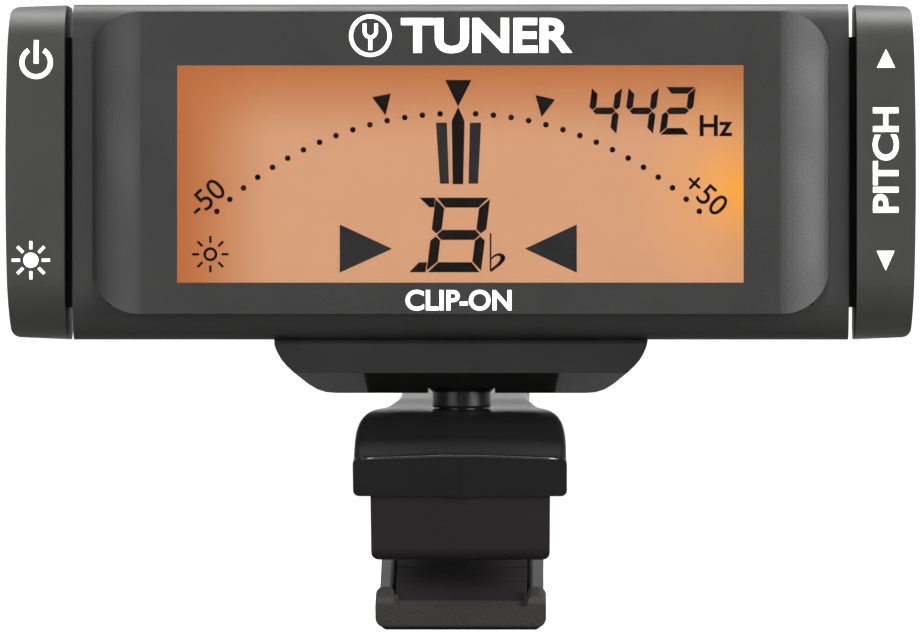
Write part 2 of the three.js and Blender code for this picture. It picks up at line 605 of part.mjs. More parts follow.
function side(name, place) {
  const ends = [['upper', 1], ['lower', -1]];
  return [
    piece(`${name}_key`, place(key()), satinBlack),
    piece(`${name}_key_pin`, place(keyPin()), steel),
    ...ends.flatMap(([level, end]) => [
      piece(`${name}_${level}_switch`, place(switchBody(end)), chipBlack),
      piece(`${name}_${level}_plunger`, place(plunger(end)), innerPlastic),
    ]),
  ];
}

function housingScrews() {
  const headFront = BODY_BACK_Y - 1.25;
  return SCREW_SPOTS.map((spot, i) => piece(
    `housing_screw_${i + 1}`,
    joined(
      rod('y', SCREW.radius, [2.4, headFront + 0.2], spot, 12), rod('y', SCREW.head, [headFront, headFront + 0.9], spot, 16),
    ),
    steel,
  ));
}

function head() {
  const group = new THREE.Group();
  const [socketFront, socketRear] = socketHalves();
  group.position.set(0, NECK.y - BALL_IN_HEAD.y, NECK.z + BALL_HEIGHT - BALL_IN_HEAD.z);
  group.add(
    piece('front_housing', frontHousing(), satinBlack),
    piece('rear_housing', rearHousing(), satinBlack),
    piece('battery_cover', batteryCover(), satinBlack),
    piece('socket_front', socketFront, innerPlastic),
    piece('socket_rear', socketRear, innerPlastic),
    ...displayStack(),
    ...boardParts(),
    ...power(),
    ...pickUp(),
    ...side('right', (solid) => solid),
    ...side('left', mirrored),
    ...housingScrews(),
  );
  return group;
}

const tuner = new THREE.Group();
tuner.add(clip(), head());

export default tuner;
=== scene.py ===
# Clip-on tuner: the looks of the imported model. Sizes are in millimetres and become metres in place().
import math

import bmesh
import bpy
from mathutils import Matrix, Vector
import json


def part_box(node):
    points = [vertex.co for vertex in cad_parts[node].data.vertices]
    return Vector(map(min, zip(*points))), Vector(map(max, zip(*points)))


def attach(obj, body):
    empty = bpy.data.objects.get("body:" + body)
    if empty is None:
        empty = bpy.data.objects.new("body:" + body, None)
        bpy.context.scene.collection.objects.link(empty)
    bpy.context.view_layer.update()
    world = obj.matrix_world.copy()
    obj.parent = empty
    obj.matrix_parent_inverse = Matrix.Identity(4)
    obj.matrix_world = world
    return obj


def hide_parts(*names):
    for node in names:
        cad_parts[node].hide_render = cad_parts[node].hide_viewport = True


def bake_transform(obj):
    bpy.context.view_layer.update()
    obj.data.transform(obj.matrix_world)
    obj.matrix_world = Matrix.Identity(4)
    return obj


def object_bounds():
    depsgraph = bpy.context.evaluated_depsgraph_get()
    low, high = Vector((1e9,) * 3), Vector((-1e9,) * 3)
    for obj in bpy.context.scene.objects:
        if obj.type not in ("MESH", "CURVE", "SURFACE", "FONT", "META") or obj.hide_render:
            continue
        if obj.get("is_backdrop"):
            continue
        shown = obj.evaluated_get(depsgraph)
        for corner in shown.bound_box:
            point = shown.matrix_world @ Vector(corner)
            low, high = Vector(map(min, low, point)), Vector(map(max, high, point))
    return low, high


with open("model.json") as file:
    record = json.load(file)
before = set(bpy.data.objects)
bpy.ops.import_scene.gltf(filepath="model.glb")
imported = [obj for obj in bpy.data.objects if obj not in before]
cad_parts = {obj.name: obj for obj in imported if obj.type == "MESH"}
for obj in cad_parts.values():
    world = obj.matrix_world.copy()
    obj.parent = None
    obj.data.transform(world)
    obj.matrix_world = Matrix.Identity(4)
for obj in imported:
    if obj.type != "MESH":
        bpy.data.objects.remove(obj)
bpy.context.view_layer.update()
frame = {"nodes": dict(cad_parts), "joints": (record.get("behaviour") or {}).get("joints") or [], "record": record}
MM = 0.001

# ---- Places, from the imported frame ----

HOUSING_LOW, HOUSING_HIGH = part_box("front_housing")
HEAD_ORIGIN = Vector((0, HOUSING_LOW[1], (HOUSING_LOW[2] + HOUSING_HIGH[2]) / 2)) / MM
HINGE = next(Vector(j["pos_m"]) / MM for j in frame["joints"] if j["name"] == "jaw_open")
NECK = next(Vector(j["pos_m"]) / MM for j in frame["joints"] if j["name"] == "head_turn")
BALL = next(Vector(j["pos_m"]) / MM for j in frame["joints"] if j["name"] == "head_tilt")
JAW_TILT = math.radians(25)

HOUSING_HALF_WIDTH = 25.62
HOUSING_HALF_HEIGHT = 11.1
SPLIT_Y = 3.2
BODY_BACK = 9.5
BEZEL_HALF_WIDTH = 24.35
BEZEL_BOTTOM, BEZEL_TOP = -9.4, 10.5
WINDOW_HALF_WIDTH = 18.65
WINDOW_BOTTOM, WINDOW_TOP = -7.34, 6.97
LCD_FACE = 1.55
POD_BACK = 14.5
CELL_Z = 0.4
BALL_IN_HEAD = Vector((0, 7, -12.3))
KEY_FRONT = 0.6
KEY_HALF_HEIGHT = 11.1
KEY_TOP_ROLL, KEY_BOTTOM_ROLL = 3.5, 4.5


# ---- Outlines: lists of (a, b) points ----

def arc(centre, radii, start, end, steps=10):
    """Points of an ellipse's arc, from start to end in degrees."""
    points = []
    for i in range(steps + 1):
        angle = math.radians(start + (end - start) * i / steps)
        points.append((centre[0] + radii[0] * math.cos(angle), centre[1] + radii[1] * math.sin(angle)))
    return points


def rounded(low, high, radii, steps=10):
    """A rectangle from low to high. The radii go round it: right low, right high, left high, left low."""
    (a0, b0), (a1, b1) = low, high
    right_low, right_high, left_high, left_low = radii
    return (
        arc((a1 - right_low, b0 + right_low), (right_low, right_low), -90, 0, steps)
        + arc((a1 - right_high, b1 - right_high), (right_high, right_high), 0, 90, steps)
        + arc((a0 + left_high, b1 - left_high), (left_high, left_high), 90, 180, steps)
        + arc((a0 + left_low, b0 + left_low), (left_low, left_low), 180, 270, steps)
    )


def bezier(start, pull_1, pull_2, end, steps=12):
    """Points of a cubic curve, without its start."""
    points = []
    for i in range(1, steps + 1):
        t = i / steps
        weights = ((1 - t) ** 3, 3 * t * (1 - t) ** 2, 3 * t * t * (1 - t), t ** 3)
        corners = (start, pull_1, pull_2, end)
        points.append(tuple(sum(w * c[k] for w, c in zip(weights, corners)) for k in (0, 1)))
    return points


def mirrored(points):
    return [(-a, b) for a, b in reversed(points)]


def jaw(v, w):
    """A point of the jaws' tilted frame as (y, z): v runs back along the gripping faces, w away from them."""
    cos, sin = math.cos(JAW_TILT), math.sin(JAW_TILT)
    return (v * cos - w * sin, v * sin + w * cos)


# ---- Making solids ----

ORDER = {"x": lambda a, b, t: (t, a, b), "y": lambda a, b, t: (a, t, b), "z": lambda a, b, t: (a, b, t)}


def new_object(name, bm):
    bmesh.ops.recalc_face_normals(bm, faces=bm.faces)
    mesh = bpy.data.meshes.new(name)
    bm.to_mesh(mesh)
    bm.free()
    piece = bpy.data.objects.new(name, mesh)
    bpy.context.collection.objects.link(piece)
    return piece


def extruded(name, outline, axis, low, high):
    """A closed solid of that outline, drawn out along an axis from low to high."""
    bm = bmesh.new()
    point = ORDER[axis]
    kept = [p for i, p in enumerate(outline) if math.dist(p, outline[i - 1]) > 1e-4]
    near = [bm.verts.new(point(a, b, low)) for a, b in kept]
    far = [bm.verts.new(point(a, b, high)) for a, b in kept]
    bm.faces.new(near)
    bm.faces.new(far)
    count = len(kept)
    for i in range(count):
        j = (i + 1) % count
        bm.faces.new((near[i], near[j], far[j], far[i]))
    return new_object(name, bm)


def block(name, x, y, z):
    return extruded(name, [(x[0], z[0]), (x[1], z[0]), (x[1], z[1]), (x[0], z[1])], "y", y[0], y[1])


def turned(name, profile, centre, axis, steps=64):
    """A solid of revolution: profile is (radius, height) from one end to the other, about an axis."""
    bm = bmesh.new()
    rings = []
    for radius, height in profile:
        if radius < 1e-5:
            rings.append([bm.verts.new((0, 0, height))])
            continue
        angles = [2 * math.pi * i / steps for i in range(steps)]
        rings.append([bm.verts.new((radius * math.cos(t), radius * math.sin(t), height)) for t in angles])
    for one, two in zip(rings, rings[1:]):
        for i in range(steps):
            j = (i + 1) % steps
            corners = [one[i % len(one)], one[j % len(one)], two[j % len(two)], two[i % len(two)]]
            face = list(dict.fromkeys(corners))
            if len(face) > 2:
                bm.faces.new(face)
    for end in (rings[0], rings[-1]):
        if len(end) > 1:
            bm.faces.new(end)
    quarter = math.pi / 2
    turn = {"x": Matrix.Rotation(quarter, 4, "Y"), "y": Matrix.Rotation(-quarter, 4, "X"), "z": Matrix()}
    bm.transform(Matrix.Translation(centre) @ turn[axis])
    return new_object(name, bm)


def rod(name, axis, radius, low, high, centre, steps=64):
    return turned(name, [(radius, low), (radius, high)], centre, axis, steps)


def settle(piece):
    """Turns a piece's modifiers into its mesh."""
    graph = bpy.context.evaluated_depsgraph_get()
    mesh = bpy.data.meshes.new_from_object(piece.evaluated_get(graph))
    piece.modifiers.clear()
    piece.data = mesh
    return piece


def combine(piece, operation, tools):
    for tool in tools:
        step = piece.modifiers.new("step", "BOOLEAN")
        step.operation = operation
        step.solver = "EXACT"
        step.object = tool
        settle(piece)
        bpy.data.objects.remove(tool)
    return piece


def join(piece, *tools):
    return combine(piece, "UNION", tools)


def cut(piece, *tools):
    return combine(piece, "DIFFERENCE", tools)


def common(piece, *tools):
    return combine(piece, "INTERSECT", tools)


def soften(piece, width, angle=32, segments=3):
    """Rounds the edges sharper than angle, as a mould does, and smooths the shading."""
    bm = bmesh.new()
    bm.from_mesh(piece.data)
    bmesh.ops.remove_doubles(bm, verts=bm.verts, dist=2e-4)
    bmesh.ops.dissolve_degenerate(bm, edges=bm.edges, dist=2e-4)
    bmesh.ops.dissolve_limit(bm, angle_limit=math.radians(0.5), verts=bm.verts, edges=bm.edges)
    bmesh.ops.triangulate(bm, faces=[face for face in bm.faces if len(face.verts) > 4])
    bm.to_mesh(piece.data)
    bm.free()
    bevel = piece.modifiers.new("bevel", "BEVEL")
    bevel.width = width
    bevel.segments = segments
    bevel.limit_method = "ANGLE"
    bevel.angle_limit = math.radians(angle)
    bevel.use_clamp_overlap = True
    bevel.harden_normals = False
    for face in piece.data.polygons:
        face.use_smooth = True
    weighted = piece.modifiers.new("normals", "WEIGHTED_NORMAL")
    weighted.keep_sharp = False
    weighted.weight = 80
    return settle(piece)


def place(piece, material, body, slot, *replaced, origin=(0, 0, 0)):
    """Puts a piece made in millimetres where it belongs, in metres, and ties it to its body."""
    piece.data.transform(Matrix.Scale(MM, 4) @ Matrix.Translation(Vector(origin)))
    if not piece.data.materials:
        piece.data.materials.append(material)
    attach(piece, body)
    if replaced:
        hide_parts(*replaced)
    return piece


def merged(name, pieces):
    """One object from several."""
    bm = bmesh.new()
    for piece in pieces:
        bm.from_mesh(piece.data)
        bpy.data.objects.remove(piece)
    mesh = bpy.data.meshes.new(name)
    bm.to_mesh(mesh)
    bm.free()
    whole = bpy.data.objects.new(name, mesh)
    bpy.context.collection.objects.link(whole)
    return whole


# ---- Materials ----

def start_material(name):
    material = bpy.data.materials.new(name)
    material.use_nodes = True
    nodes = material.node_tree.nodes
    return material, nodes, material.node_tree.links, nodes["Principled BSDF"]


def noise(nodes, links, coordinates, size, detail=2.0, rough=0.5):
    """Noise with a grain of that size in millimetres."""
    texture = nodes.new("ShaderNodeTexNoise")
    texture.inputs["Scale"].default_value = 1 / (size * MM)
    texture.inputs["Detail"].default_value = detail
    texture.inputs["Roughness"].default_value = rough
    links.new(coordinates, texture.inputs["Vector"])
    return texture.outputs["Fac"]


def ramp(nodes, links, factor, stops):
    """A colour ramp: stops are (position, colour)."""
    node = nodes.new("ShaderNodeValToRGB")
    while len(node.color_ramp.elements) < len(stops):
        node.color_ramp.elements.new(0.5)
    for element, (position, colour) in zip(node.color_ramp.elements, stops):
        element.position = position
        element.color = (*colour, 1)
    links.new(factor, node.inputs["Fac"])
    return node.outputs["Color"]


def remap(nodes, links, value, from_low, from_high, to_low, to_high, smooth=False):
    node = nodes.new("ShaderNodeMapRange")
    node.interpolation_type = "SMOOTHSTEP" if smooth else "LINEAR"
    limits = {"From Min": from_low, "From Max": from_high, "To Min": to_low, "To Max": to_high}
    for name, number in limits.items():
        node.inputs[name].default_value = number
    links.new(value, node.inputs["Value"])
    return node.outputs["Result"]


def moulded(name, colour, roughness, grain=0.1, grain_depth=0.006, strength=0.35, spread=0.14, metallic=0,
            coat=0, specular=0.5, glow=0.0):
    """Moulded or finished material: fine grain, and slow drifts of colour and gloss over millimetres. A glow,
    where given, makes the surface emit its own colour: painted light, since the surface is no lamp.
    """
    material, nodes, links, shader = start_material(name)
    place_of = nodes.new("ShaderNodeTexCoord").outputs["Object"]
    drift = noise(nodes, links, place_of, 4.5, 3)
    fine = noise(nodes, links, place_of, grain, 2, 0.6)
    dark = tuple(c * (1 - spread) for c in colour)
    light = tuple(min(1, c * (1 + spread)) for c in colour)
    mix = nodes.new("ShaderNodeMix")
    mix.data_type = "RGBA"
    mix.inputs["A"].default_value = (*dark, 1)
    mix.inputs["B"].default_value = (*light, 1)
    blend = nodes.new("ShaderNodeMath")
    blend.operation = "MULTIPLY_ADD"
    blend.inputs[1].default_value = 0.45
    links.new(fine, blend.inputs[0])
    links.new(remap(nodes, links, drift, 0.3, 0.7, 0.05, 0.5), blend.inputs[2])
    links.new(blend.outputs[0], mix.inputs["Factor"])
    links.new(mix.outputs["Result"], shader.inputs["Base Color"])
    # Emission on a surface that is no lamp: painted brightness that stands in for light falling on it.
    if glow:
        links.new(mix.outputs["Result"], shader.inputs["Emission Color"])
        shader.inputs["Emission Strength"].default_value = glow
    gloss = remap(nodes, links, drift, 0.3, 0.7, roughness * 0.92, min(1, roughness * 1.1))
    links.new(gloss, shader.inputs["Roughness"])
    bump = nodes.new("ShaderNodeBump")
    bump.inputs["Strength"].default_value = strength
    bump.inputs["Distance"].default_value = grain_depth * MM
    links.new(fine, bump.inputs["Height"])
    links.new(bump.outputs["Normal"], shader.inputs["Normal"])
    shader.inputs["Metallic"].default_value = metallic
    shader.inputs["Coat Weight"].default_value = coat
    shader.inputs["Specular IOR Level"].default_value = specular
    return material


def clear_material():
    """Clear acrylic with the faintest haze."""
    material, nodes, links, shader = start_material("clear_acrylic")
    place_of = nodes.new("ShaderNodeTexCoord").outputs["Object"]
    haze = noise(nodes, links, place_of, 3, 2)
    links.new(remap(nodes, links, haze, 0.3, 0.7, 0.015, 0.05), shader.inputs["Roughness"])
    shader.inputs["Base Color"].default_value = (0.98, 0.98, 0.97, 1)
    shader.inputs["Transmission Weight"].default_value = 1
    shader.inputs["IOR"].default_value = 1.2
    return material


def lcd_material():
    """The lit display: warm amber, deeper towards its rim, with the lamp's glow at the right-hand end."""
    material, nodes, links, shader = start_material("lit_display")
    place_of = nodes.new("ShaderNodeTexCoord").outputs["Object"]
    split = nodes.new("ShaderNodeSeparateXYZ")
    links.new(place_of, split.inputs["Vector"])
    left = HEAD_ORIGIN.x - WINDOW_HALF_WIDTH
    top = HEAD_ORIGIN.z + WINDOW_TOP
    from_left = remap(nodes, links, split.outputs["X"], left * MM, (left + 7) * MM, 0, 1, smooth=True)
    from_top = remap(nodes, links, split.outputs["Z"], top * MM, (top - 5.5) * MM, 0.12, 1, smooth=True)
    inner = nodes.new("ShaderNodeMath")
    inner.operation = "MULTIPLY"
    links.new(from_left, inner.inputs[0])
    links.new(from_top, inner.inputs[1])
    body = ramp(nodes, links, inner.outputs[0], [
        (0.0, (0.50, 0.155, 0.050)), (0.45, (0.56, 0.235, 0.105)), (1.0, (0.64, 0.325, 0.180)),
    ])
    lamp = Vector((HEAD_ORIGIN.x + 18.8, HEAD_ORIGIN.y + LCD_FACE, HEAD_ORIGIN.z - 1.3)) * MM
    distance = nodes.new("ShaderNodeVectorMath")
    distance.operation = "DISTANCE"
    links.new(place_of, distance.inputs[0])
    distance.inputs[1].default_value = lamp
    cloud = noise(nodes, links, place_of, 6, 2)
    soft = nodes.new("ShaderNodeMath")
    soft.operation = "MULTIPLY_ADD"
    soft.inputs[1].default_value = 0.0016
    links.new(cloud, soft.inputs[0])
    links.new(distance.outputs["Value"], soft.inputs[2])
    glow = ramp(nodes, links, remap(nodes, links, soft.outputs[0], 0.0009, 0.0085, 0, 1), [
        (0.0, (1, 1, 1)), (0.22, (0.62, 0.62, 0.62)), (0.5, (0.22, 0.22, 0.22)), (1.0, (0, 0, 0)),
    ])
    lit = nodes.new("ShaderNodeMix")
    lit.data_type = "RGBA"
    lit.inputs["B"].default_value = (1.0, 0.40, 0.045, 1)
    links.new(glow, lit.inputs["Factor"])
    links.new(body, lit.inputs["A"])
    links.new(lit.outputs["Result"], shader.inputs["Emission Color"])
    dim = nodes.new("ShaderNodeVectorMath")
    dim.operation = "SCALE"
    dim.inputs["Scale"].default_value = 0.12
    links.new(lit.outputs["Result"], dim.inputs[0])
    links.new(dim.outputs["Vector"], shader.inputs["Base Color"])
    shader.inputs["Emission Strength"].default_value = 0.97
    shader.inputs["Roughness"].default_value = 0.5
    shader.inputs["Specular IOR Level"].default_value = 0.1
    return material


SATIN = moulded(
    "satin_black", (0.0092, 0.0092, 0.0089), 0.49, grain=0.14, grain_depth=0.016, strength=0.6, specular=0.54,
)
SATIN_KEY = moulded(
    "satin_key", (0.021, 0.021, 0.0201), 0.49, grain=0.12, grain_depth=0.008, strength=0.4, specular=0.5,
)
# A darker, less shiny copy of the satin black for the pod's foot under the head: painted shade.
FOOT_PAINTED_SHADE = moulded(
    "foot_satin_painted_shade", (0.008, 0.008, 0.008), 0.46, grain=0.14, grain_depth=0.01, strength=0.4, specular=0.3,
)
FOOT_GLOSS = moulded(
    "foot_gloss", (0.006, 0.006, 0.0055), 0.14, grain=0.4, grain_depth=0.002, strength=0.15, specular=1.0,
    coat=1.0,
)
GLOSS = moulded(
    "gloss_black", (0.0082, 0.0082, 0.0082), 0.34, grain=0.35, grain_depth=0.003, strength=0.2, specular=0.22,
)
STUD_BLACK = moulded(
    "stud_black", (0.008, 0.008, 0.008), 0.3, grain=0.3, grain_depth=0.003, strength=0.2, specular=0.2,
)
RUBBER = moulded(
    "black_rubber", (0.0125, 0.0107, 0.0118), 0.72, grain=0.09, grain_depth=0.02, strength=0.6, specular=0.22,
)
RUBBER_COARSE = moulded("lip_rubber", (0.023, 0.022, 0.021), 0.7, grain=0.16, grain_depth=0.05, strength=0.8)
NATURAL = moulded("natural_plastic", (0.68, 0.68, 0.64), 0.42, grain=0.2)
STEEL = moulded("plated_steel", (0.56, 0.57, 0.59), 0.28, grain=0.08, grain_depth=0.004, metallic=1)
BRASS = moulded("brass", (0.62, 0.43, 0.14), 0.3, grain=0.1, metallic=1)
BOARD = moulded("solder_mask", (0.02, 0.17, 0.06), 0.35, grain=0.3)
CHIP = moulded("epoxy", (0.014, 0.014, 0.014), 0.5, grain=0.06)
CERAMIC = moulded("ceramic", (0.48, 0.33, 0.17), 0.5, grain=0.1)
CLEAR = clear_material()
LIT = lcd_material()
SEGMENT = moulded("display_segment", (0.006, 0.003, 0.003), 0.6, grain=0.2, spread=0.3, specular=0.1)
SEGMENT_GREY = moulded("display_segment_grey", (0.02, 0.02, 0.022), 0.6, grain=0.2, spread=0.2, specular=0.1)
# White print that also emits light: the glow is painted brightness, as if the print were strongly lit.
PRINT_WITH_PAINTED_GLOW = moulded("white_print_painted_glow", (0.88, 0.88, 0.87), 0.5, grain=0.08, grain_depth=0.004, glow=0.92)


# ---- Head housings ----

def front_housing():
    top, bottom = HOUSING_HALF_HEIGHT, -HOUSING_HALF_HEIGHT
    side = (
        [(SPLIT_Y, bottom)]
        + arc((3.1, bottom + 3.3), (1.7, 3.3), -90, -180, 24)
        + arc((3.1, top - 2.4), (1.7, 2.4), 180, 90, 20)
        + [(SPLIT_Y, top)]
    )
    slab = extruded("front_housing_shell", side, "x", -HOUSING_HALF_WIDTH, HOUSING_HALF_WIDTH)
    face = rounded((-BEZEL_HALF_WIDTH, BEZEL_BOTTOM), (BEZEL_HALF_WIDTH, BEZEL_TOP), (3.2, 3.2, 3.2, 3.2), 14)
    bezel = extruded("bezel", face, "y", 0, 1.8)
    edge = BEZEL_HALF_WIDTH + 0.001
    flat = edge - 3.4
    right_roll = bezier((edge, 1.4), (edge - 0.65, 0.72), (flat + 1.1, 0.1), (flat, 0), 24)
    roll = [(-edge, 2.2), (edge, 2.2)] + right_roll + mirrored(right_roll)
    common(bezel, extruded("roll", roll, "z", -12, 12))
    join(slab, bezel)
    cut(
        slab,
        block("pocket", (-23.3, 23.3), (1.45, 4), (-8.8, 9.8)),
        block("window", (-WINDOW_HALF_WIDTH, WINDOW_HALF_WIDTH), (-1, 3), (WINDOW_BOTTOM, WINDOW_TOP)),
        block(
            "seat", (-WINDOW_HALF_WIDTH - 0.62, WINDOW_HALF_WIDTH + 0.62), (0.62, 3),
            (WINDOW_BOTTOM - 0.62, WINDOW_TOP + 0.62),
        ),
    )
    soften(slab, 0.17)
    return place(slab, SATIN, "head", "satin_black", "front_housing", origin=HEAD_ORIGIN)


def foot_outline():
    """The pod from the front: sides, round top, and the foot that narrows to a flat."""
    right = [
        (8.3, -14.65), (8.95, -14.6), (9.55, -14.4), (10.12, -14.04), (10.6, -13.64), (11.08, -13.24),
        (11.5, -12.84), (11.84, -12.45), (12.08, -12.05), (12.26, -11.65), (12.37, -11.26), (12.4, -10.8),
    ]
    right += arc((7.4, 6), (5, 5), 0, 90, 12)
    return right + mirrored(right)


def rear_housing():
    back = arc((8.5, -10.1), (1, 1), -90, 0, 8) + arc((8.5, 10.1), (1, 1), 0, 90, 8)
    back = [(3.3, -11.1)] + back + [(3.3, 11.1)]
    shell = extruded("rear_housing_shell", back, "x", -HOUSING_HALF_WIDTH, HOUSING_HALF_WIDTH)
    side = (
        [(2.5, -11.35), (2.5, -13.3), (4.4, -14.65), (9.6, -14.65), (POD_BACK, -10.6)]
        + [(POD_BACK, 11), (9, 11), (9, -10.4), (3.35, -10.4), (3.35, -11.35)]
    )
    pod = extruded("pod", side, "x", -13, 13)
    common(pod, extruded("pod_face", foot_outline(), "y", 2, 15))
    join(shell, pod)
    key_openings = [block("opening", sorted((s * 24, s * 26)), (2, 8.3), (-9.4, 9.4)) for s in (-1, 1)]
    corners = [(sx * 21.6, sz * 8) for sx in (-1, 1) for sz in (-1, 1)]
    wells = [rod("well", "y", 1.42, BODY_BACK - 1.3, 10.5, (x, 0, z), 32) for x, z in corners]
    cut(
        shell,
        block("inside", (-24.3, 24.3), (2, 8.3), (-9.9, 9.9)),
        *key_openings,
        rod("cell_bay", "y", 10.15, 10.9, 16, (0, 0, CELL_Z), 96),
        block("contact_slot", (9.4, 10.9), (10.9, 16), (-1.6, 3.4)),
        block("neck_slot", (-2.25, 2.25), (3.95, 10.05), (-16, -12)),
        ball("ball_room", 3.1, BALL_IN_HEAD),
        *wells,
    )
    soften(shell, 0.3, 30, 4)
    place(shell, SATIN, "head", "satin_black", "rear_housing", origin=HEAD_ORIGIN)
    shell.data.materials.append(FOOT_GLOSS)
    shell.data.materials.append(FOOT_PAINTED_SHADE)
    foot, under = (HEAD_ORIGIN.z - 11.12) * MM, (HEAD_ORIGIN.z - 13.35) * MM
    # Faces of the foot below the housing take the painted-shade copy of the satin black; the downward faces of its
    # underside take the gloss.
    for face in shell.data.polygons:
        if face.center.z < foot:
            face.material_index = 2
        if face.center.z < under and face.normal.z < -0.35:
            face.material_index = 1
    return shell


def ball(name, radius, centre, steps=48):
    profile = [(radius * math.sin(math.pi * i / 24), -radius * math.cos(math.pi * i / 24)) for i in range(25)]
    return turned(name, profile, centre, "z", steps)


def battery_cover():
    shape = rounded((-12.1, -10.3), (12.1, 10.9), (4.8, 4.8, 4.8, 4.8), 16)
    plate = extruded("battery_cover_plate", shape, "y", POD_BACK + 0.1, POD_BACK + 1)
    join(plate, rod("locating_ring", "y", 9.9, POD_BACK - 0.15, POD_BACK + 0.3, (0, 0, CELL_Z), 96))
    grips = []
    for z in (-8.2, -7.5, -6.8):
        grips.append(block("grip", (-3, 3), (POD_BACK + 0.85, POD_BACK + 2), (z - 0.16, z + 0.16)))
    cut(
        plate,
        rod("ring_inside", "y", 9, POD_BACK - 1, POD_BACK + 0.1, (0, 0, CELL_Z), 96),
        rod("disc_groove", "y", 5.4, POD_BACK + 0.9, POD_BACK + 2, (0, 0, CELL_Z), 96),
        block("coin_slot", (-3.5, 3.5), (POD_BACK + 0.6, POD_BACK + 2), (CELL_Z - 0.7, CELL_Z + 0.7)),
        *grips,
    )
    soften(plate, 0.12)
    return place(plate, SATIN, "battery_cover", "satin_black", "battery_cover", origin=HEAD_ORIGIN)


def key(name, sign):
    """An end key: a cap with a slightly bowed side and rounded ends, and a skirt that fills its opening."""
    outline = (
        [(26.12, -11.09)] + arc((29.2, -10.35), (0.58, 0.6), -90, 0, 8)
        + bezier((29.78, -10.35), (30.06, -4), (30.06, 4), (29.78, 10.35), 14)
        + arc((29.2, 10.35), (0.58, 0.6), 0, 90, 8)[1:] + [(26.12, 11.09)]
    )
    top, bottom, back, back_roll = KEY_HALF_HEIGHT, -KEY_HALF_HEIGHT, 9.2, 1.2
    cap = extruded(f"{name}_cap", outline, "y", KEY_FRONT, back)
    low, high, rear = (KEY_BOTTOM_ROLL,) * 2, (KEY_TOP_ROLL,) * 2, (back_roll,) * 2
    side = (
        arc((KEY_FRONT + KEY_BOTTOM_ROLL, bottom + KEY_BOTTOM_ROLL), low, 180, 270, 24)
        + arc((back - back_roll, bottom + back_roll), rear, -90, 0, 10)
        + arc((back - back_roll, top - back_roll), rear, 0, 90, 10)
        + arc((KEY_FRONT + KEY_TOP_ROLL, top - KEY_TOP_ROLL), high, 90, 180, 24)
    )
    common(cap, extruded("key_side", side, "x", 20, 31))
    join(cap, block("skirt", (24.9, 26.4), (3.7, 7.9), (-8.95, 8.95)))
    if sign < 0:
        cap.data.transform(Matrix.Scale(-1, 4, (1, 0, 0)))
        cap.data.flip_normals()
    soften(cap, 0.2)
    return place(cap, SATIN_KEY, name, "satin_black", name, origin=HEAD_ORIGIN)


def housing_screws():
    """Cross-recessed heads in the back's four wells."""
    spots = [(-1, 1), (1, 1), (-1, -1), (1, -1)]
    for i, (sx, sz) in enumerate(spots):
        centre = (sx * 21.6, 0, sz * 8)
        profile = [(0.7, 2.4), (0.7, 8.25), (1.22, 8.25), (1.25, 8.75), (1.05, 9.0), (0.6, 9.13), (0, 9.16)]
        screw = turned(f"screw_{i + 1}", profile, centre, "y", 40)
        x, z = centre[0], centre[2]
        turn = 20 + 37 * i
        for angle in (turn, turn + 90):
            slot = block("recess", (-0.62, 0.62), (8.7, 10), (-0.13, 0.13))
            slot.data.transform(Matrix.Translation((x, 0, z)) @ Matrix.Rotation(math.radians(angle), 4, "Y"))
            cut(screw, slot)
        soften(screw, 0.03)
        place(screw, STEEL, "head", "steel", f"housing_screw_{i + 1}", origin=HEAD_ORIGIN)


# ---- Display art and printed marks ----

def drape(mark):
    """Lays a key's mark on the rolled ends of its front face."""
    bm = bmesh.new()
    bm.from_mesh(mark.data)
    rolls = ((1, KEY_TOP_ROLL), (-1, KEY_BOTTOM_ROLL))
    cuts, cut_step = 5, 0.25
    for sign, radius in rolls:
        for i in range(cuts):
            level = sign * (KEY_HALF_HEIGHT - radius + cut_step * i)
            everything = bm.verts[:] + bm.edges[:] + bm.faces[:]
            bmesh.ops.bisect_plane(bm, geom=everything, plane_co=(0, 0, level), plane_no=(0, 0, 1))
    for vert in bm.verts:
        for sign, radius in rolls:
            past = sign * vert.co.z - (KEY_HALF_HEIGHT - radius)
            if past > 0:
                vert.co.y += radius - math.sqrt(radius * radius - past * past)
    bm.to_mesh(mark.data)
    bm.free()
    return mark


def flat_marks(name, outlines, y, depth, material, slot, body="head"):
    """Thin marks on a face that looks along -Y. Each outline is a list of (x, z) in the head's frame."""
    marks = [extruded(f"{name}_{i}", outline, "y", y - depth, y) for i, outline in enumerate(outlines)]
    mark = merged(name, marks)
    if body != "head":
        drape(mark)
    return place(mark, material, body, slot, origin=HEAD_ORIGIN)


def ring_outline(x, z, outer, inner, start=0, end=360, steps=40):
    """A ring or an arc of one. A full ring is left open by a hair's width."""
    if end - start >= 360:
        end = start + 359.9
    return arc((x, z), (outer, outer), start, end, steps) + arc((x, z), (inner, inner), end, start, steps)


def bar(x, z, angle, near, far, width):
    """A bar that points away from (x, z), from near to far."""
    cos, sin = math.cos(math.radians(angle)), math.sin(math.radians(angle))
    half = width / 2
    corners = [(near, -half), (far, -half), (far, half), (near, half)]
    return [(x + r * cos - t * sin, z + r * sin + t * cos) for r, t in corners]


def sun(x, z, disc, near, far, width, filled=True):
    centre = [arc((x, z), (disc, disc), 0, 355, 30)] if filled else [ring_outline(x, z, disc, disc * 0.62)]
    return centre + [bar(x, z, 45 * i, near, far, width) for i in range(8)]


SEGMENTS_ON = {"4": "bcfg", "2": "abged", "0": "abcdef", "B": "abcdefg"}


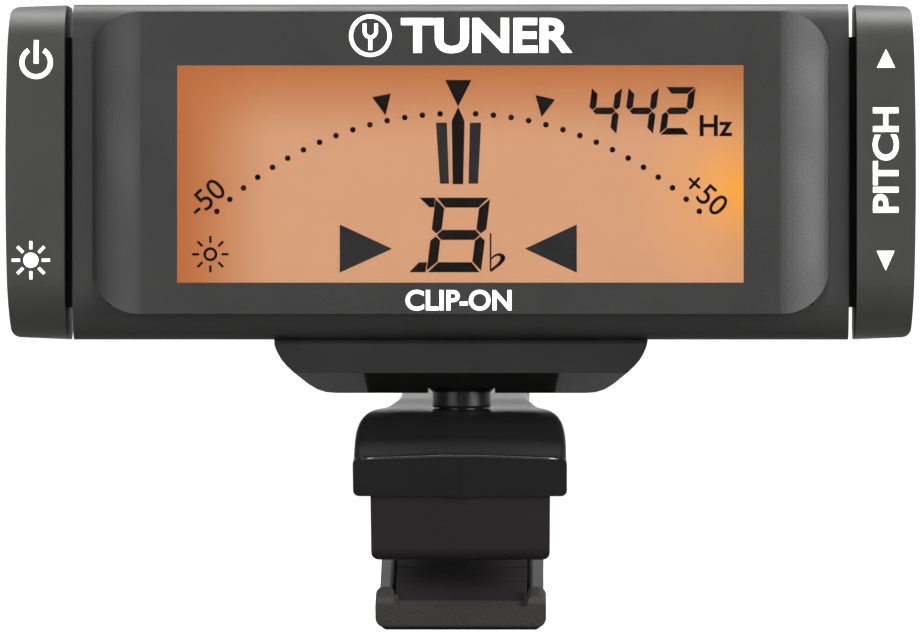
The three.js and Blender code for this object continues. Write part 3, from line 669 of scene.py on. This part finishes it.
def seven_segment(character, x, z, width, height, stroke, slant):
    """The lit bars of a sloping seven-segment character, mitred where they meet. (x, z) is its lower left."""
    gap, half, middle = stroke * 0.07, stroke / 2, height / 2
    inner, right = stroke, width - stroke

    def across(outer_z, inner_z):
        return [
            (gap * 2, outer_z), (width - gap * 2, outer_z), (right - gap, inner_z), (inner + gap, inner_z),
        ]

    def upright(outer_x, inner_x, end, mid):
        sign = 1 if end > mid else -1
        return [
            (outer_x, end - sign * gap * 2), (inner_x, end - sign * (stroke + gap)),
            (inner_x, mid + sign * (half + gap)), ((outer_x + inner_x) / 2, mid + sign * gap * 2),
            (outer_x, mid + sign * (half + gap)),
        ]

    bars = {
        "a": across(height, height - stroke), "d": across(0, stroke),
        "g": [
            (half + gap, middle), (inner + gap, middle + half), (right - gap, middle + half),
            (width - half - gap, middle), (right - gap, middle - half), (inner + gap, middle - half),
        ],
        "f": upright(0, inner, height, middle), "b": upright(width, right, height, middle),
        "e": upright(0, inner, 0, middle), "c": upright(width, right, 0, middle),
    }
    return [[(x + u + slant * v, z + v) for u, v in bars[one]] for one in SEGMENTS_ON[character]]


def lettering(name, words, height, centre, y, depth, material, slot, body="head", turn=0, weight=0.0,
              stretch=1.0):
    """Words on a face that looks along -Y. height is a capital's height and centre their middle, (x, z)."""
    curve = bpy.data.curves.new(name, "FONT")
    curve.body = words
    curve.size = height / 0.7
    curve.extrude = depth / 2
    curve.offset = weight
    curve.resolution_u = 6
    text = bpy.data.objects.new(name, curve)
    bpy.context.collection.objects.link(text)
    bpy.context.view_layer.update()
    mesh = bpy.data.meshes.new_from_object(text.evaluated_get(bpy.context.evaluated_depsgraph_get()))
    bpy.data.objects.remove(text)
    xs = [v.co.x for v in mesh.vertices]
    ys = [v.co.y for v in mesh.vertices]
    middle = Vector(((min(xs) + max(xs)) / 2, (min(ys) + max(ys)) / 2, 0))
    mesh.transform(Matrix.Scale(stretch, 4, (1, 0, 0)) @ Matrix.Translation(-middle))
    mesh.transform(Matrix.Rotation(math.radians(turn), 4, "Z"))
    mesh.transform(Matrix.Rotation(math.pi / 2, 4, "X"))
    mesh.transform(Matrix.Translation((centre[0], y - depth / 2, centre[1])))
    piece = bpy.data.objects.new(name, mesh)
    bpy.context.collection.objects.link(piece)
    return place(piece, material, body, slot, origin=HEAD_ORIGIN)


def display_art():
    """The dark segments of the display: a scale of dots, pointers, needle, note, pitch and small signs."""
    y, depth = LCD_FACE - 0.02, 0.03
    dial = (-0.16, -19.0)
    radius, step = 22.83, 2.947
    dots = []
    for k in [k for k in range(-15, 16) if k]:
        angle = math.radians(90 - k * step)
        centre = (dial[0] + radius * math.cos(angle), dial[1] + radius * math.sin(angle))
        dots.append(arc(centre, (0.19, 0.19), 0, 345, 20))
    pointers = [
        [(-1.0, 6.03), (-0.15, 4.27), (0.73, 6.03)],
        [(-5.82, 4.9), (-4.94, 3.7), (-4.58, 5.15)],
        [(4.95, 5.04), (5.36, 3.58), (6.26, 4.74)],
    ]
    arrows = [
        [(-7.96, -3.5), (-7.96, -6.68), (-4.5, -5.1)],
        [(7.68, -3.5), (4.26, -5.1), (7.68, -6.68)],
    ]
    needle = [(-0.14, 4.25), (-0.57, 3.33), (-0.50, -0.84), (0.19, -0.84), (0.28, 3.33)]
    pitch = []
    for i, digit in enumerate("442"):
        pitch += seven_segment(digit, 8.28 + 2.42 * i, 2.42, 2.0, 3.14, 0.44, 0.13)
    note = seven_segment("B", -2.24, -6.65, 3.6, 4.92, 0.66, 0.125)
    note.append([(-2.7, -1.73), (-1.66, -1.73), (-1.72, -2.37), (-2.04, -2.37)])
    note.append([(-3.34, -6.6), (-2.72, -5.99), (-2.2, -5.99), (-2.3, -6.65), (-3.3, -6.65)])
    flat_sign = [
        [(1.94, -6.6), (1.94, -4.07), (2.05, -4.07), (2.05, -6.6)],
        [(2.04, -5.68), (2.24, -5.5), (2.5, -5.39), (2.8, -5.43), (2.97, -5.62), (2.95, -5.84),
         (2.72, -6.12), (2.04, -6.65), (2.04, -6.42), (2.44, -6.08), (2.62, -5.84), (2.64, -5.66),
         (2.52, -5.56), (2.3, -5.62), (2.04, -5.82)],
    ]
    signs = sun(-16.5, -5.46, 0.46, 0.74, 1.2, 0.16, filled=False)
    dark = dots + pointers + [needle] + pitch + note + flat_sign + signs
    flat_marks("display_segments", dark, y, depth, SEGMENT, "amber_panel")
    bars = [
        [(-1.61, 3.22), (-1.34, -0.81), (-0.75, -0.81), (-0.89, 3.22)],
        [(0.63, 3.22), (0.54, -0.81), (1.17, -0.81), (1.37, 3.22)],
    ]
    flat_marks("display_side_marks", bars + arrows, y, depth, SEGMENT_GREY, "amber_panel")
    for name, words, height, centre, turn, weight in (
        ("display_unit", "Hz", 1.36, (16.86, 3.02), 0, 0.035),
        ("display_flat_end", "-50", 1.42, (-16.78, -1.72), 42, 0.008),
        ("display_sharp_end", "+50", 1.42, (16.2, -1.5), -42, 0.008),
    ):
        lettering(name, words, height, centre, y, depth, SEGMENT, "amber_panel", turn=turn, weight=weight)


def printed_marks():
    """White marks: a tuning fork in a ring and generic words on the bezel, and the keys' signs. Their material
    also glows: painted brightness.
    """
    y, depth = 0.004, 0.02
    x, z = -5.9, 8.9
    fork = [ring_outline(x, z, 1.4, 1.14), bar(x, z, -90, 0.05, 0.95, 0.26)]
    fork.append(ring_outline(x, z + 0.28, 0.5, 0.26, 180, 360, 24))
    fork += [bar(x + s * 0.38, z + 0.25, 90, 0, 0.55, 0.24) for s in (-1, 1)]
    flat_marks("tuning_fork_mark", fork, y, depth, PRINT_WITH_PAINTED_GLOW, "satin_black")
    lettering("bezel_word", "TUNER", 2.15, (1.75, 8.9), y, depth, PRINT_WITH_PAINTED_GLOW, "satin_black", weight=0.1,
              stretch=1.12)
    lettering("lower_word", "CLIP-ON", 1.28, (-0.1, -8.5), y, depth, PRINT_WITH_PAINTED_GLOW, "satin_black", weight=0.045)

    front = KEY_FRONT + 0.004
    power = [ring_outline(-27.95, 7.18, 1.1, 0.78, -238, 58, 50), bar(-27.95, 7.1, 90, 0, 1.55, 0.32)]
    flat_marks("power_sign", power, front, depth, PRINT_WITH_PAINTED_GLOW, "satin_black", "left_key")
    light = sun(-28.3, -5.86, 0.5, 0.72, 1.26, 0.2)
    flat_marks("light_sign", light, front, depth, PRINT_WITH_PAINTED_GLOW, "satin_black", "left_key")
    arrows = [
        [(27.42, 6.8), (28.62, 6.8), (28.02, 8.03)],
        [(27.4, -5.25), (28.0, -6.55), (28.58, -5.25)],
    ]
    flat_marks("pitch_arrows", arrows, front, depth, PRINT_WITH_PAINTED_GLOW, "satin_black", "right_key")
    lettering("pitch_word", "PITCH", 1.6, (28.0, 0.72), front, depth, PRINT_WITH_PAINTED_GLOW, "satin_black", "right_key",
              turn=90, weight=0.06, stretch=1.12)


# ---- Clip ----

def spline(stations, t):
    """A smooth value between rows of numbers, by Catmull-Rom: t runs from 0 to the last row."""
    i = min(int(t), len(stations) - 2)
    u = t - i
    rows = [stations[max(0, min(len(stations) - 1, i + k))] for k in (-1, 0, 1, 2)]
    return [
        0.5 * (2 * b + (c - a) * u + (2 * a - 5 * b + 4 * c - d) * u * u + (3 * b - a - 3 * c + d) * u ** 3)
        for a, b, c, d in zip(*rows)
    ]


def arm_section(row):
    """One rounded slice of the upper arm, as points round it, from the ridge down the right side and back."""
    top_y, top_z, low_y, low_z, half, ridge, corner, edge = row
    up = Vector((0, top_y - low_y, top_z - low_z))
    height = up.length
    up.normalize()
    base = Vector((0, low_y, low_z))
    corner = min(corner, height * 0.48)
    edge = min(edge, height * 0.35)
    right = [(0.0, height + ridge)]
    flat = half - corner
    right += [(flat * k / 6, height + ridge * (1 - flat * k / 6 / half)) for k in range(1, 6)]
    for k in range(9):
        angle = math.radians(90 - 90 * k / 8)
        lift = ridge * (1 - flat / half) * (1 - k / 8)
        right.append((flat + corner * math.cos(angle), height - corner + corner * math.sin(angle) + lift))
    for k in range(5):
        angle = math.radians(-90 * k / 4)
        right.append((half - edge + edge * math.cos(angle), edge + edge * math.sin(angle)))
    right += [((half - edge) * (1 - k / 4), 0.0) for k in range(1, 4)]
    right.append((0.0, 0.0))
    left = [(-x, h) for x, h in reversed(right[1:-1])]
    return [Vector((x, 0, 0)) + base + up * h for x, h in right + left]


def bead(name, points, radius, sides=8):
    """A fine round bead that runs across the object through points in order of x."""
    bm = bmesh.new()
    rings = []
    for x, y, z in points:
        turns = [2 * math.pi * i / sides for i in range(sides)]
        rings.append([bm.verts.new((x, y + radius * math.cos(a), z + radius * math.sin(a))) for a in turns])
    for one, two in zip(rings, rings[1:]):
        for i in range(sides):
            bm.faces.new((one[i], one[(i + 1) % sides], two[(i + 1) % sides], two[i]))
    bm.faces.new(rings[0])
    bm.faces.new(rings[-1])
    bmesh.ops.recalc_face_normals(bm, faces=bm.faces[:])
    piece = new_object(name, bm)
    for face in piece.data.polygons:
        face.use_smooth = True
    return piece


def upper_arm():
    """The upper arm: lofted from its crisp front face over the shoulder and along the handle. Two ears."""
    rows = [
        [*jaw(-5.27, 7.18), *jaw(-5.27, 4.45), 7.03, 0.27, 0.45, 0.4],
        [*jaw(-4.95, 7.2), *jaw(-4.95, 4.45), 7.03, 0.27, 0.45, 0.4],
        [*jaw(-4.84, 7.08), *jaw(-4.8, 4.45), 6.98, 0.26, 0.45, 0.4],
        [-6.6, 5.03, -5.9, 2.4, 6.98, 0.2, 0.48, 0.35],
        [-5.8, 5.72, -5.1, 2.8, 6.96, 0.14, 0.48, 0.35],
        [-5.0, 6.3, -4.2, 3.1, 6.9, 0.1, 0.48, 0.3],
        [-4.2, 6.76, -3.3, 3.35, 6.78, 0.06, 0.48, 0.3],
        [-3.2, 7.12, -2.2, 3.5, 6.58, 0.03, 0.48, 0.3],
        [-2.0, 7.35, -1.0, 3.75, 6.3, 0.02, 0.48, 0.3],
        [0.0, 7.47, 0.6, 3.95, 5.9, 0.0, 0.46, 0.3],
        [2.6, 7.53, 2.6, 4.15, 5.45, 0.0, 0.46, 0.3],
        [4.3, 7.68, 4.2, 4.6, 5.12, 0.0, 0.5, 0.3],
        [5.3, 7.8, 5.3, 5.85, 4.95, 0.0, 0.5, 0.3],
        [8.0, 8.15, 8.0, 6.05, 4.56, 0.0, 0.6, 0.3],
        [14.0, 8.6, 14.0, 6.6, 4.4, 0.0, 0.7, 0.35],
        [20.0, 9.07, 20.0, 7.3, 4.4, 0.0, 0.7, 0.4],
        [24.2, 9.4, 24.3, 7.75, 4.36, 0.0, 0.7, 0.45],
        [26.0, 9.5, 26.0, 7.98, 3.9, 0.0, 0.6, 0.45],
        [26.75, 9.3, 26.75, 8.2, 3.1, 0.0, 0.4, 0.35],
        [27.0, 9.0, 27.0, 8.5, 2.2, 0.0, 0.2, 0.2],
    ]
    bm = bmesh.new()
    per_row = 5
    stops = [0.0, 0.5, 1.0, 1.5] + [2 + i / per_row for i in range((len(rows) - 3) * per_row + 1)]
    rings = [[bm.verts.new(p) for p in arm_section(spline(rows, t))] for t in stops]
    around = len(rings[0])
    for one, two in zip(rings, rings[1:]):
        for i in range(around):
            j = (i + 1) % around
            bm.faces.new((one[i], one[j], two[j], two[i]))
    half = around // 2
    bm.faces.new(rings[0][: half + 1])
    bm.faces.new(rings[0][half:] + rings[0][:1])
    bm.faces.new(rings[-1])
    for k, reach in enumerate((1, 0.7, 0.35)):
        for vert in (rings[k][0], rings[k][half]):
            vert.co += Vector((0, *jaw(-0.13 * reach, 0)))
    arm = new_object("upper_arm_moulding", bm)
    soften(arm, 0.07, 26, 2)
    ears = []
    for sign in (-1, 1):
        outline = arc((HINGE.y, HINGE.z), (2.2, 2.2), -180, 0, 24)
        outline += [(HINGE.y + 2.4, 7.4), (HINGE.y - 2.6, 7.0)]
        x0, x1 = sorted((sign * 3.3, sign * 4.35))
        ear = extruded("upper_ear", outline, "x", x0, x1)
        cut(ear, rod("pin_hole", "x", 0.87, min(x0, x1) - 1, max(x0, x1) + 1, (0, HINGE.y, HINGE.z), 40))
        ears.append(soften(ear, 0.14))
    crease = []  # the front face's top edge, a shallow peak
    for x in (-6.5, -5.5, -4.4, -3.3, -2.2, -1.1, 0, 1.1, 2.2, 3.3, 4.4, 5.5, 6.5):
        bow = 0.11 if x == 0 else 0
        crease.append((x, *jaw(-5.24 - bow, 7.15 + 0.27 * (1 - abs(x) / 7.03))))
    place(bead("crease_bead", crease, 0.095), FOOT_GLOSS, "clip_frame", "gloss_black")
    seam_side = [jaw(-5.42, 7.35), jaw(-5.42, 4.55), jaw(-5.3, 4.55), jaw(-5.3, 7.35)]
    seam = soften(extruded("front_mould_line", seam_side, "x", -0.045, 0.045), 0.015)
    whole = merged("upper_arm_body", [arm, seam, *ears])
    return place(whole, GLOSS, "clip_frame", "gloss_black", "upper_arm")


def upper_pad():
    """The thick rubber block of the upper jaw, its lower front edge rolled under."""
    side = (
        [jaw(5, 1.9), jaw(-5, 4.5), jaw(-5, 1.2)]
        + [jaw(v, w) for v, w in arc((-3.8, 0.6), (1.2, 1.45), 180, 270, 16)]
        + [jaw(4.6, 0), jaw(5, 0.4)]
    )
    pad = extruded("upper_pad_rubber", side, "x", -5.9, 5.9)
    common(pad, tilted("pad_front", rounded((-5.9, -0.86), (5.9, 8), (1.0, 0.2, 0.2, 1.0), 8), -12, 12))
    grooves = []
    for v in (-2.6, -0.9, 0.8, 2.5):
        outline = [jaw(v - 0.16, -1), jaw(v - 0.1, 0.28), jaw(v + 0.1, 0.28), jaw(v + 0.16, -1)]
        grooves.append(extruded("groove", outline, "x", -7, 7))
    cut(pad, *grooves)
    soften(pad, 0.16)
    return place(pad, RUBBER, "clip_frame", "rubber_black", "upper_pad")


LOWER_FACE = -3.4
LOWER_FLOOR = -4.8


def tilted(name, outline, low, high):
    """A solid in the jaws' frame: the outline is (x, w), and it's drawn out along v from low to high."""
    piece = extruded(name, outline, "y", low, high)
    piece.data.transform(Matrix.Rotation(JAW_TILT, 4, "X"))
    return piece


def lower_arm():
    """The lower arm: a channel with side walls round the pad, ears at the hinge, and the lower handle."""
    side = (
        [jaw(-5.25, LOWER_FLOOR - 0.15), jaw(6.2, LOWER_FLOOR - 0.3)]
        + bezier(jaw(6.2, LOWER_FLOOR - 0.3), (9.4, -1.0), (10.6, -0.3), (12.5, -0.5), 10)
        + bezier((12.5, -0.5), (17, -1.2), (22, -2.6), (26.6, -4.0), 12)
        + arc((26.3, -4.8), (0.75, 0.8), 70, -100, 10)
        + bezier((26.0, -5.58), (20, -4.5), (15, -2.9), (12, -2.6), 12)
        + [jaw(5, -6.6), jaw(-2, -6.3), jaw(-5.25, -5.45)]
    )
    blank = extruded("lower_arm_moulding", side, "x", -5.45, 5.45)
    rear = [(4.4, 9.5), (4.4, 24.5)] + arc((2.1, 24.6), (2.3, 2.4), 0, 90, 10)
    right = [(5.45, -9), (5.45, 6)] + bezier((5.45, 6), (5.4, 7.6), (4.5, 8), (4.4, 9.5), 8) + rear[1:]
    plan = right + mirrored(right)
    common(blank, extruded("lower_plan", plan, "z", -10, 6))
    walls = []
    for sign in (-1, 1):
        section = [(4.45, -3.7), (4.6, -3.6), (4.75, -3.62), (5.45, -4.4), (5.45, -5.6), (4.45, -5.6)]
        walls.append(tilted("wall", [(sign * x, w) for x, w in section], -4.2, 5.7))
    join(blank, *walls)
    ears = []
    for sign in (-1, 1):
        x0, x1 = sorted((sign * 2.2, sign * 3.1))
        outline = arc((HINGE.y, HINGE.z), (2.2, 2.2), 0, 180, 24) + [(9.6, -2.0), (14.6, -1.5)]
        ear = extruded("lower_ear", outline, "x", x0, x1)
        cut(ear, rod("pin_hole", "x", 0.87, x0 - 1, x1 + 1, (0, HINGE.y, HINGE.z), 40))
        ears.append(ear)
    join(blank, *ears)
    for sign in (-1, 1):
        bottom = arc((sign * 4.65, -4.7), (sign * 0.82, 0.82), 0, -90, 10)
        corner = [(sign * 6, -4.7), *bottom, (sign * 4.65, -6.5), (sign * 6, -6.5)]
        cut(blank, tilted("corner", corner, -7, -3.2))
    soften(blank, 0.16)
    return place(blank, GLOSS, "lower_jaw", "gloss_black", "lower_arm")


def lower_pad():
    """The lower jaw's rubber: a stepped gripping face between the walls, and a coarse raised-end lip."""
    face_side = [
        jaw(-5, LOWER_FLOOR), jaw(5, LOWER_FLOOR), jaw(5, LOWER_FACE - 0.25), jaw(-1.62, LOWER_FACE - 0.25),
        jaw(-1.7, LOWER_FACE), jaw(-5, LOWER_FACE),
    ]
    face = extruded("lower_face", face_side, "x", -4.35, 4.35)
    grooves = []
    for v in (0.4, 2.3, 4.1):
        outline = [jaw(v - 0.14, -2), jaw(v - 0.1, -3.95), jaw(v + 0.1, -3.95), jaw(v + 0.14, -2)]
        grooves.append(extruded("groove", outline, "x", -6, 6))
    cut(face, *grooves)
    soften(face, 0.07)

    side = (
        [jaw(v, w) for v, w in arc((-5.45, -3.2), (0.55, 0.5), 180, 90, 8)]
        + [jaw(-4.35, -2.7), jaw(-4.35, LOWER_FLOOR - 0.02), jaw(-5.3, LOWER_FLOOR - 0.12)]
        + [jaw(v, w) for v, w in arc((-5.65, LOWER_FLOOR + 0.1), (0.35, 0.32), 270, 180, 8)]
    )
    lip = extruded("lip", side, "x", -5.7, 5.7)
    rim = [(5.65, -4.2)] + arc((5.1, -3.3), (0.55, 0.6), 0, 90, 8) + [(4.85, -2.7)]
    rim += bezier((4.85, -2.7), (4.6, -2.7), (4.5, -2.8), (4.45, -3.05), 6)
    rim += bezier((4.45, -3.05), (4.4, -3.35), (4.3, -3.42), (3.9, -3.42), 6)
    under = bezier((0, -5.08), (2.4, -5.08), (3.6, -5.02), (4.75, -4.98), 6)
    under += arc((4.85, -4.2), (0.8, 0.78), -85, 0, 10)
    half = under[:-1] + rim
    common(lip, tilted("lip_front", half + mirrored(half) + [(0, -5.08)], -8, -3))
    soften(lip, 0.15, 28, 3)
    place(face, RUBBER, "lower_jaw", "rubber_black", "lower_pad")
    return place(lip, RUBBER_COARSE, "lower_jaw", "rubber_black")


def stud():
    """The ball stud, with the fine mould line that runs down its neck."""
    height = BALL.z - NECK.z
    meet = math.asin(1.95 / 3)
    profile = [(1.5, -2.1), (1.5, 0.06), (1.85, 0.06), (1.95, 0.2)]
    for i in range(21):
        angle = meet + (math.pi - meet) * i / 20
        profile.append((max(0.0, 3 * math.sin(angle)), height - 3 * math.cos(angle)))
    profile[-1] = (0, height + 3)
    body = turned("ball_stud_body", profile, (NECK.x, NECK.y, NECK.z), "z", 72)
    soften(body, 0.05)
    seam_side = [(NECK.y - 1.98, NECK.z + 0.2), (NECK.y - 1.98, NECK.z + 1.05), (NECK.y - 1.7, NECK.z + 1.05)]
    seam_side.append((NECK.y - 1.7, NECK.z + 0.2))
    seam = soften(extruded("mould_line", seam_side, "x", -0.05, 0.05), 0.02)
    whole = merged("stud_moulding", [body, seam])
    return place(whole, STUD_BLACK, "stud", "gloss_black", "ball_stud")


def hinge_pin():
    profile = [(0, 4.35), (0.6, 4.33), (0.78, 4.2), (0.8, 4.05)]
    profile = [(radius, -along) for radius, along in profile] + profile[::-1]
    pin = turned("hinge_pin_steel", profile, (0, HINGE.y, HINGE.z), "x", 48)
    soften(pin, 0.02)
    return place(pin, STEEL, "clip_frame", "steel", "hinge_pin")


def torsion_spring():
    """Round wire: turns about the pin, and a leg along each handle, so it winds up as the jaw opens."""
    turns, pitch, radius, wire_radius = 3.5, 0.9, 1.75, 0.35
    half = turns * pitch / 2
    points = [(-half, 19.4, -1.42), (-half, 16.5, -0.6), (-half, 14, 0.55)]
    steps = int(turns * 20)
    for i in range(steps + 1):
        angle = -math.pi * 0.42 - i / 20 * 2 * math.pi
        along = -half + 2 * half * i / steps
        points.append((along, HINGE.y + radius * math.cos(angle), HINGE.z + radius * math.sin(angle)))
    points += [(half, 14.4, 5.35), (half, 16.5, 5.75), (half, 19.4, 6.4)]
    curve = bpy.data.curves.new("spring_wire", "CURVE")
    curve.dimensions = "3D"
    curve.bevel_depth = wire_radius
    curve.bevel_resolution = 5
    curve.use_fill_caps = True
    path = curve.splines.new("POLY")
    path.points.add(len(points) - 1)
    for point, place_at in zip(path.points, points):
        point.co = (*place_at, 1)
    path.use_smooth = True
    wire = bpy.data.objects.new("spring_wire", curve)
    bpy.context.collection.objects.link(wire)
    mesh = bpy.data.meshes.new_from_object(wire.evaluated_get(bpy.context.evaluated_depsgraph_get()))
    bpy.data.objects.remove(wire)
    spring = bpy.data.objects.new("spring_coil", mesh)
    bpy.context.collection.objects.link(spring)
    for face in mesh.polygons:
        face.use_smooth = True
    mesh.transform(Matrix.Scale(MM, 4))
    mesh.materials.append(STEEL)
    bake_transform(spring)
    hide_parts("torsion_spring")
    return spring


# ---- CAD nodes that stay, with finished materials ----

SLOT_LOOKS = {
    "satin_black": SATIN, "gloss_black": GLOSS, "rubber_black": RUBBER, "inner_plastic": NATURAL,
    "steel": STEEL, "clear_plastic": CLEAR, "amber_panel": LIT, "board_green": BOARD, "chip_black": CHIP,
    "ceramic_tan": CERAMIC, "brass": BRASS,
}


def dress_cad_nodes():
    for part in frame["record"]["subparts"]:
        node = frame["nodes"][part["node"]]
        node.data.materials.clear()
        node.data.materials.append(SLOT_LOOKS[part["material_slot"]])


# ---- Studio ----

def paper_material():
    """Pale paper with painted light: painted shade, darkest near the object, and painted brightness, palest where
    it sweeps up behind the object.
    """
    material, nodes, links, shader = start_material("pale_paper")
    place_of = nodes.new("ShaderNodeTexCoord").outputs["Object"]
    split = nodes.new("ShaderNodeSeparateXYZ")
    links.new(place_of, split.inputs["Vector"])
    fibre = noise(nodes, links, place_of, 1.5, 3)
    drift = nodes.new("ShaderNodeMath")
    drift.operation = "MULTIPLY_ADD"
    drift.inputs[1].default_value = 0.01
    links.new(fibre, drift.inputs[0])
    links.new(split.outputs["Y"], drift.inputs[2])
    # Painted light falloff along Y: painted shade near the object, painted brightness far behind it.
    away = remap(nodes, links, drift.outputs[0], 0.015, 0.11, 0, 1, smooth=True)
    painted_light_falloff = ramp(nodes, links, away, [(0.0, (0.19, 0.19, 0.189)), (1.0, (0.60, 0.60, 0.60))])
    links.new(painted_light_falloff, shader.inputs["Base Color"])
    links.new(remap(nodes, links, fibre, 0.3, 0.7, 0.85, 0.95), shader.inputs["Roughness"])
    shader.inputs["Specular IOR Level"].default_value = 0.1
    return material


def studio():
    """Pale paper that sweeps up behind every view, a dim world, and soft boxes. Sizes are in metres."""
    low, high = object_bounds()
    middle = (low + high) / 2
    drop, half_width, front, wall, wall_height, bend, steps = 0.004, 2.2, -1.6, 1.35, 1.2, 0.3, 16
    floor_z = low.z - drop
    bm = bmesh.new()
    sweep = [(front, 0.0), (wall - bend, 0.0)]
    for i in range(1, steps + 1):
        angle = math.pi / 2 * i / steps
        sweep.append((wall - bend + bend * math.sin(angle), bend - bend * math.cos(angle)))
    sweep.append((wall, wall_height))
    rows = [[bm.verts.new((x, y, floor_z + z)) for y, z in sweep] for x in (-half_width, half_width)]
    for i in range(len(sweep) - 1):
        bm.faces.new((rows[0][i], rows[0][i + 1], rows[1][i + 1], rows[1][i]))
    floor = new_object("floor", bm)
    for face in floor.data.polygons:
        face.use_smooth = True
    floor.data.materials.append(paper_material())
    floor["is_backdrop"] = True

    world = bpy.data.worlds.new("studio")
    bpy.context.scene.world = world
    world.use_nodes = True
    background = world.node_tree.nodes["Background"]
    background.inputs["Color"].default_value = (1, 1, 1, 1)
    background.inputs["Strength"].default_value = 0.12

    def softbox(name, place_at, size, power, aim):
        light = bpy.data.lights.new(name, "AREA")
        light.shape = "RECTANGLE"
        light.size, light.size_y = size
        light.energy = power
        holder = bpy.data.objects.new(name, light)
        bpy.context.collection.objects.link(holder)
        holder.location = place_at
        holder.rotation_euler = (Vector(aim) - Vector(place_at)).to_track_quat("-Z", "Y").to_euler()

    softbox("top_box", (0, 0.10, 0.55), (0.8, 0.28), 7.5, middle)
    softbox("back_top_box", (0, 0.40, 0.42), (1.3, 0.45), 0.8, middle)
    softbox("backdrop_box", (0, 0.80, 0.60), (1.6, 0.3), 12, (0, 1.35, 0.08))
    softbox("left_box", (-0.33, -0.45, 0.12), (0.3, 0.5), 2.8, middle)
    softbox("right_box", (0.42, -0.33, 0.10), (0.33, 0.5), 6.2, middle)


def camera():
    """At the photograph's angle: level with the head's lower edge, looking straight at the display."""
    lens = bpy.data.cameras.new("camera")
    lens.sensor_width = 36
    distance = 450
    frame_width = 60.5
    lens.lens = 36 * distance / frame_width
    lens.clip_end = 10
    holder = bpy.data.objects.new("camera", lens)
    bpy.context.collection.objects.link(holder)
    yaw = math.radians(0.9)
    aside, back = distance * math.sin(yaw), distance * math.cos(yaw)
    holder.location = Vector((aside, HEAD_ORIGIN.y - back, HEAD_ORIGIN.z - 9.67)) * MM
    holder.rotation_euler = (math.pi / 2, 0, yaw)
    bpy.context.scene.camera = holder
    bpy.context.scene.view_settings.view_transform = "Standard"


camera()
dress_cad_nodes()
front_housing()
rear_housing()
battery_cover()
key("left_key", -1)
key("right_key", 1)
housing_screws()
display_art()
printed_marks()
upper_arm()
upper_pad()
lower_arm()
lower_pad()
stud()
hinge_pin()
torsion_spring()
studio()
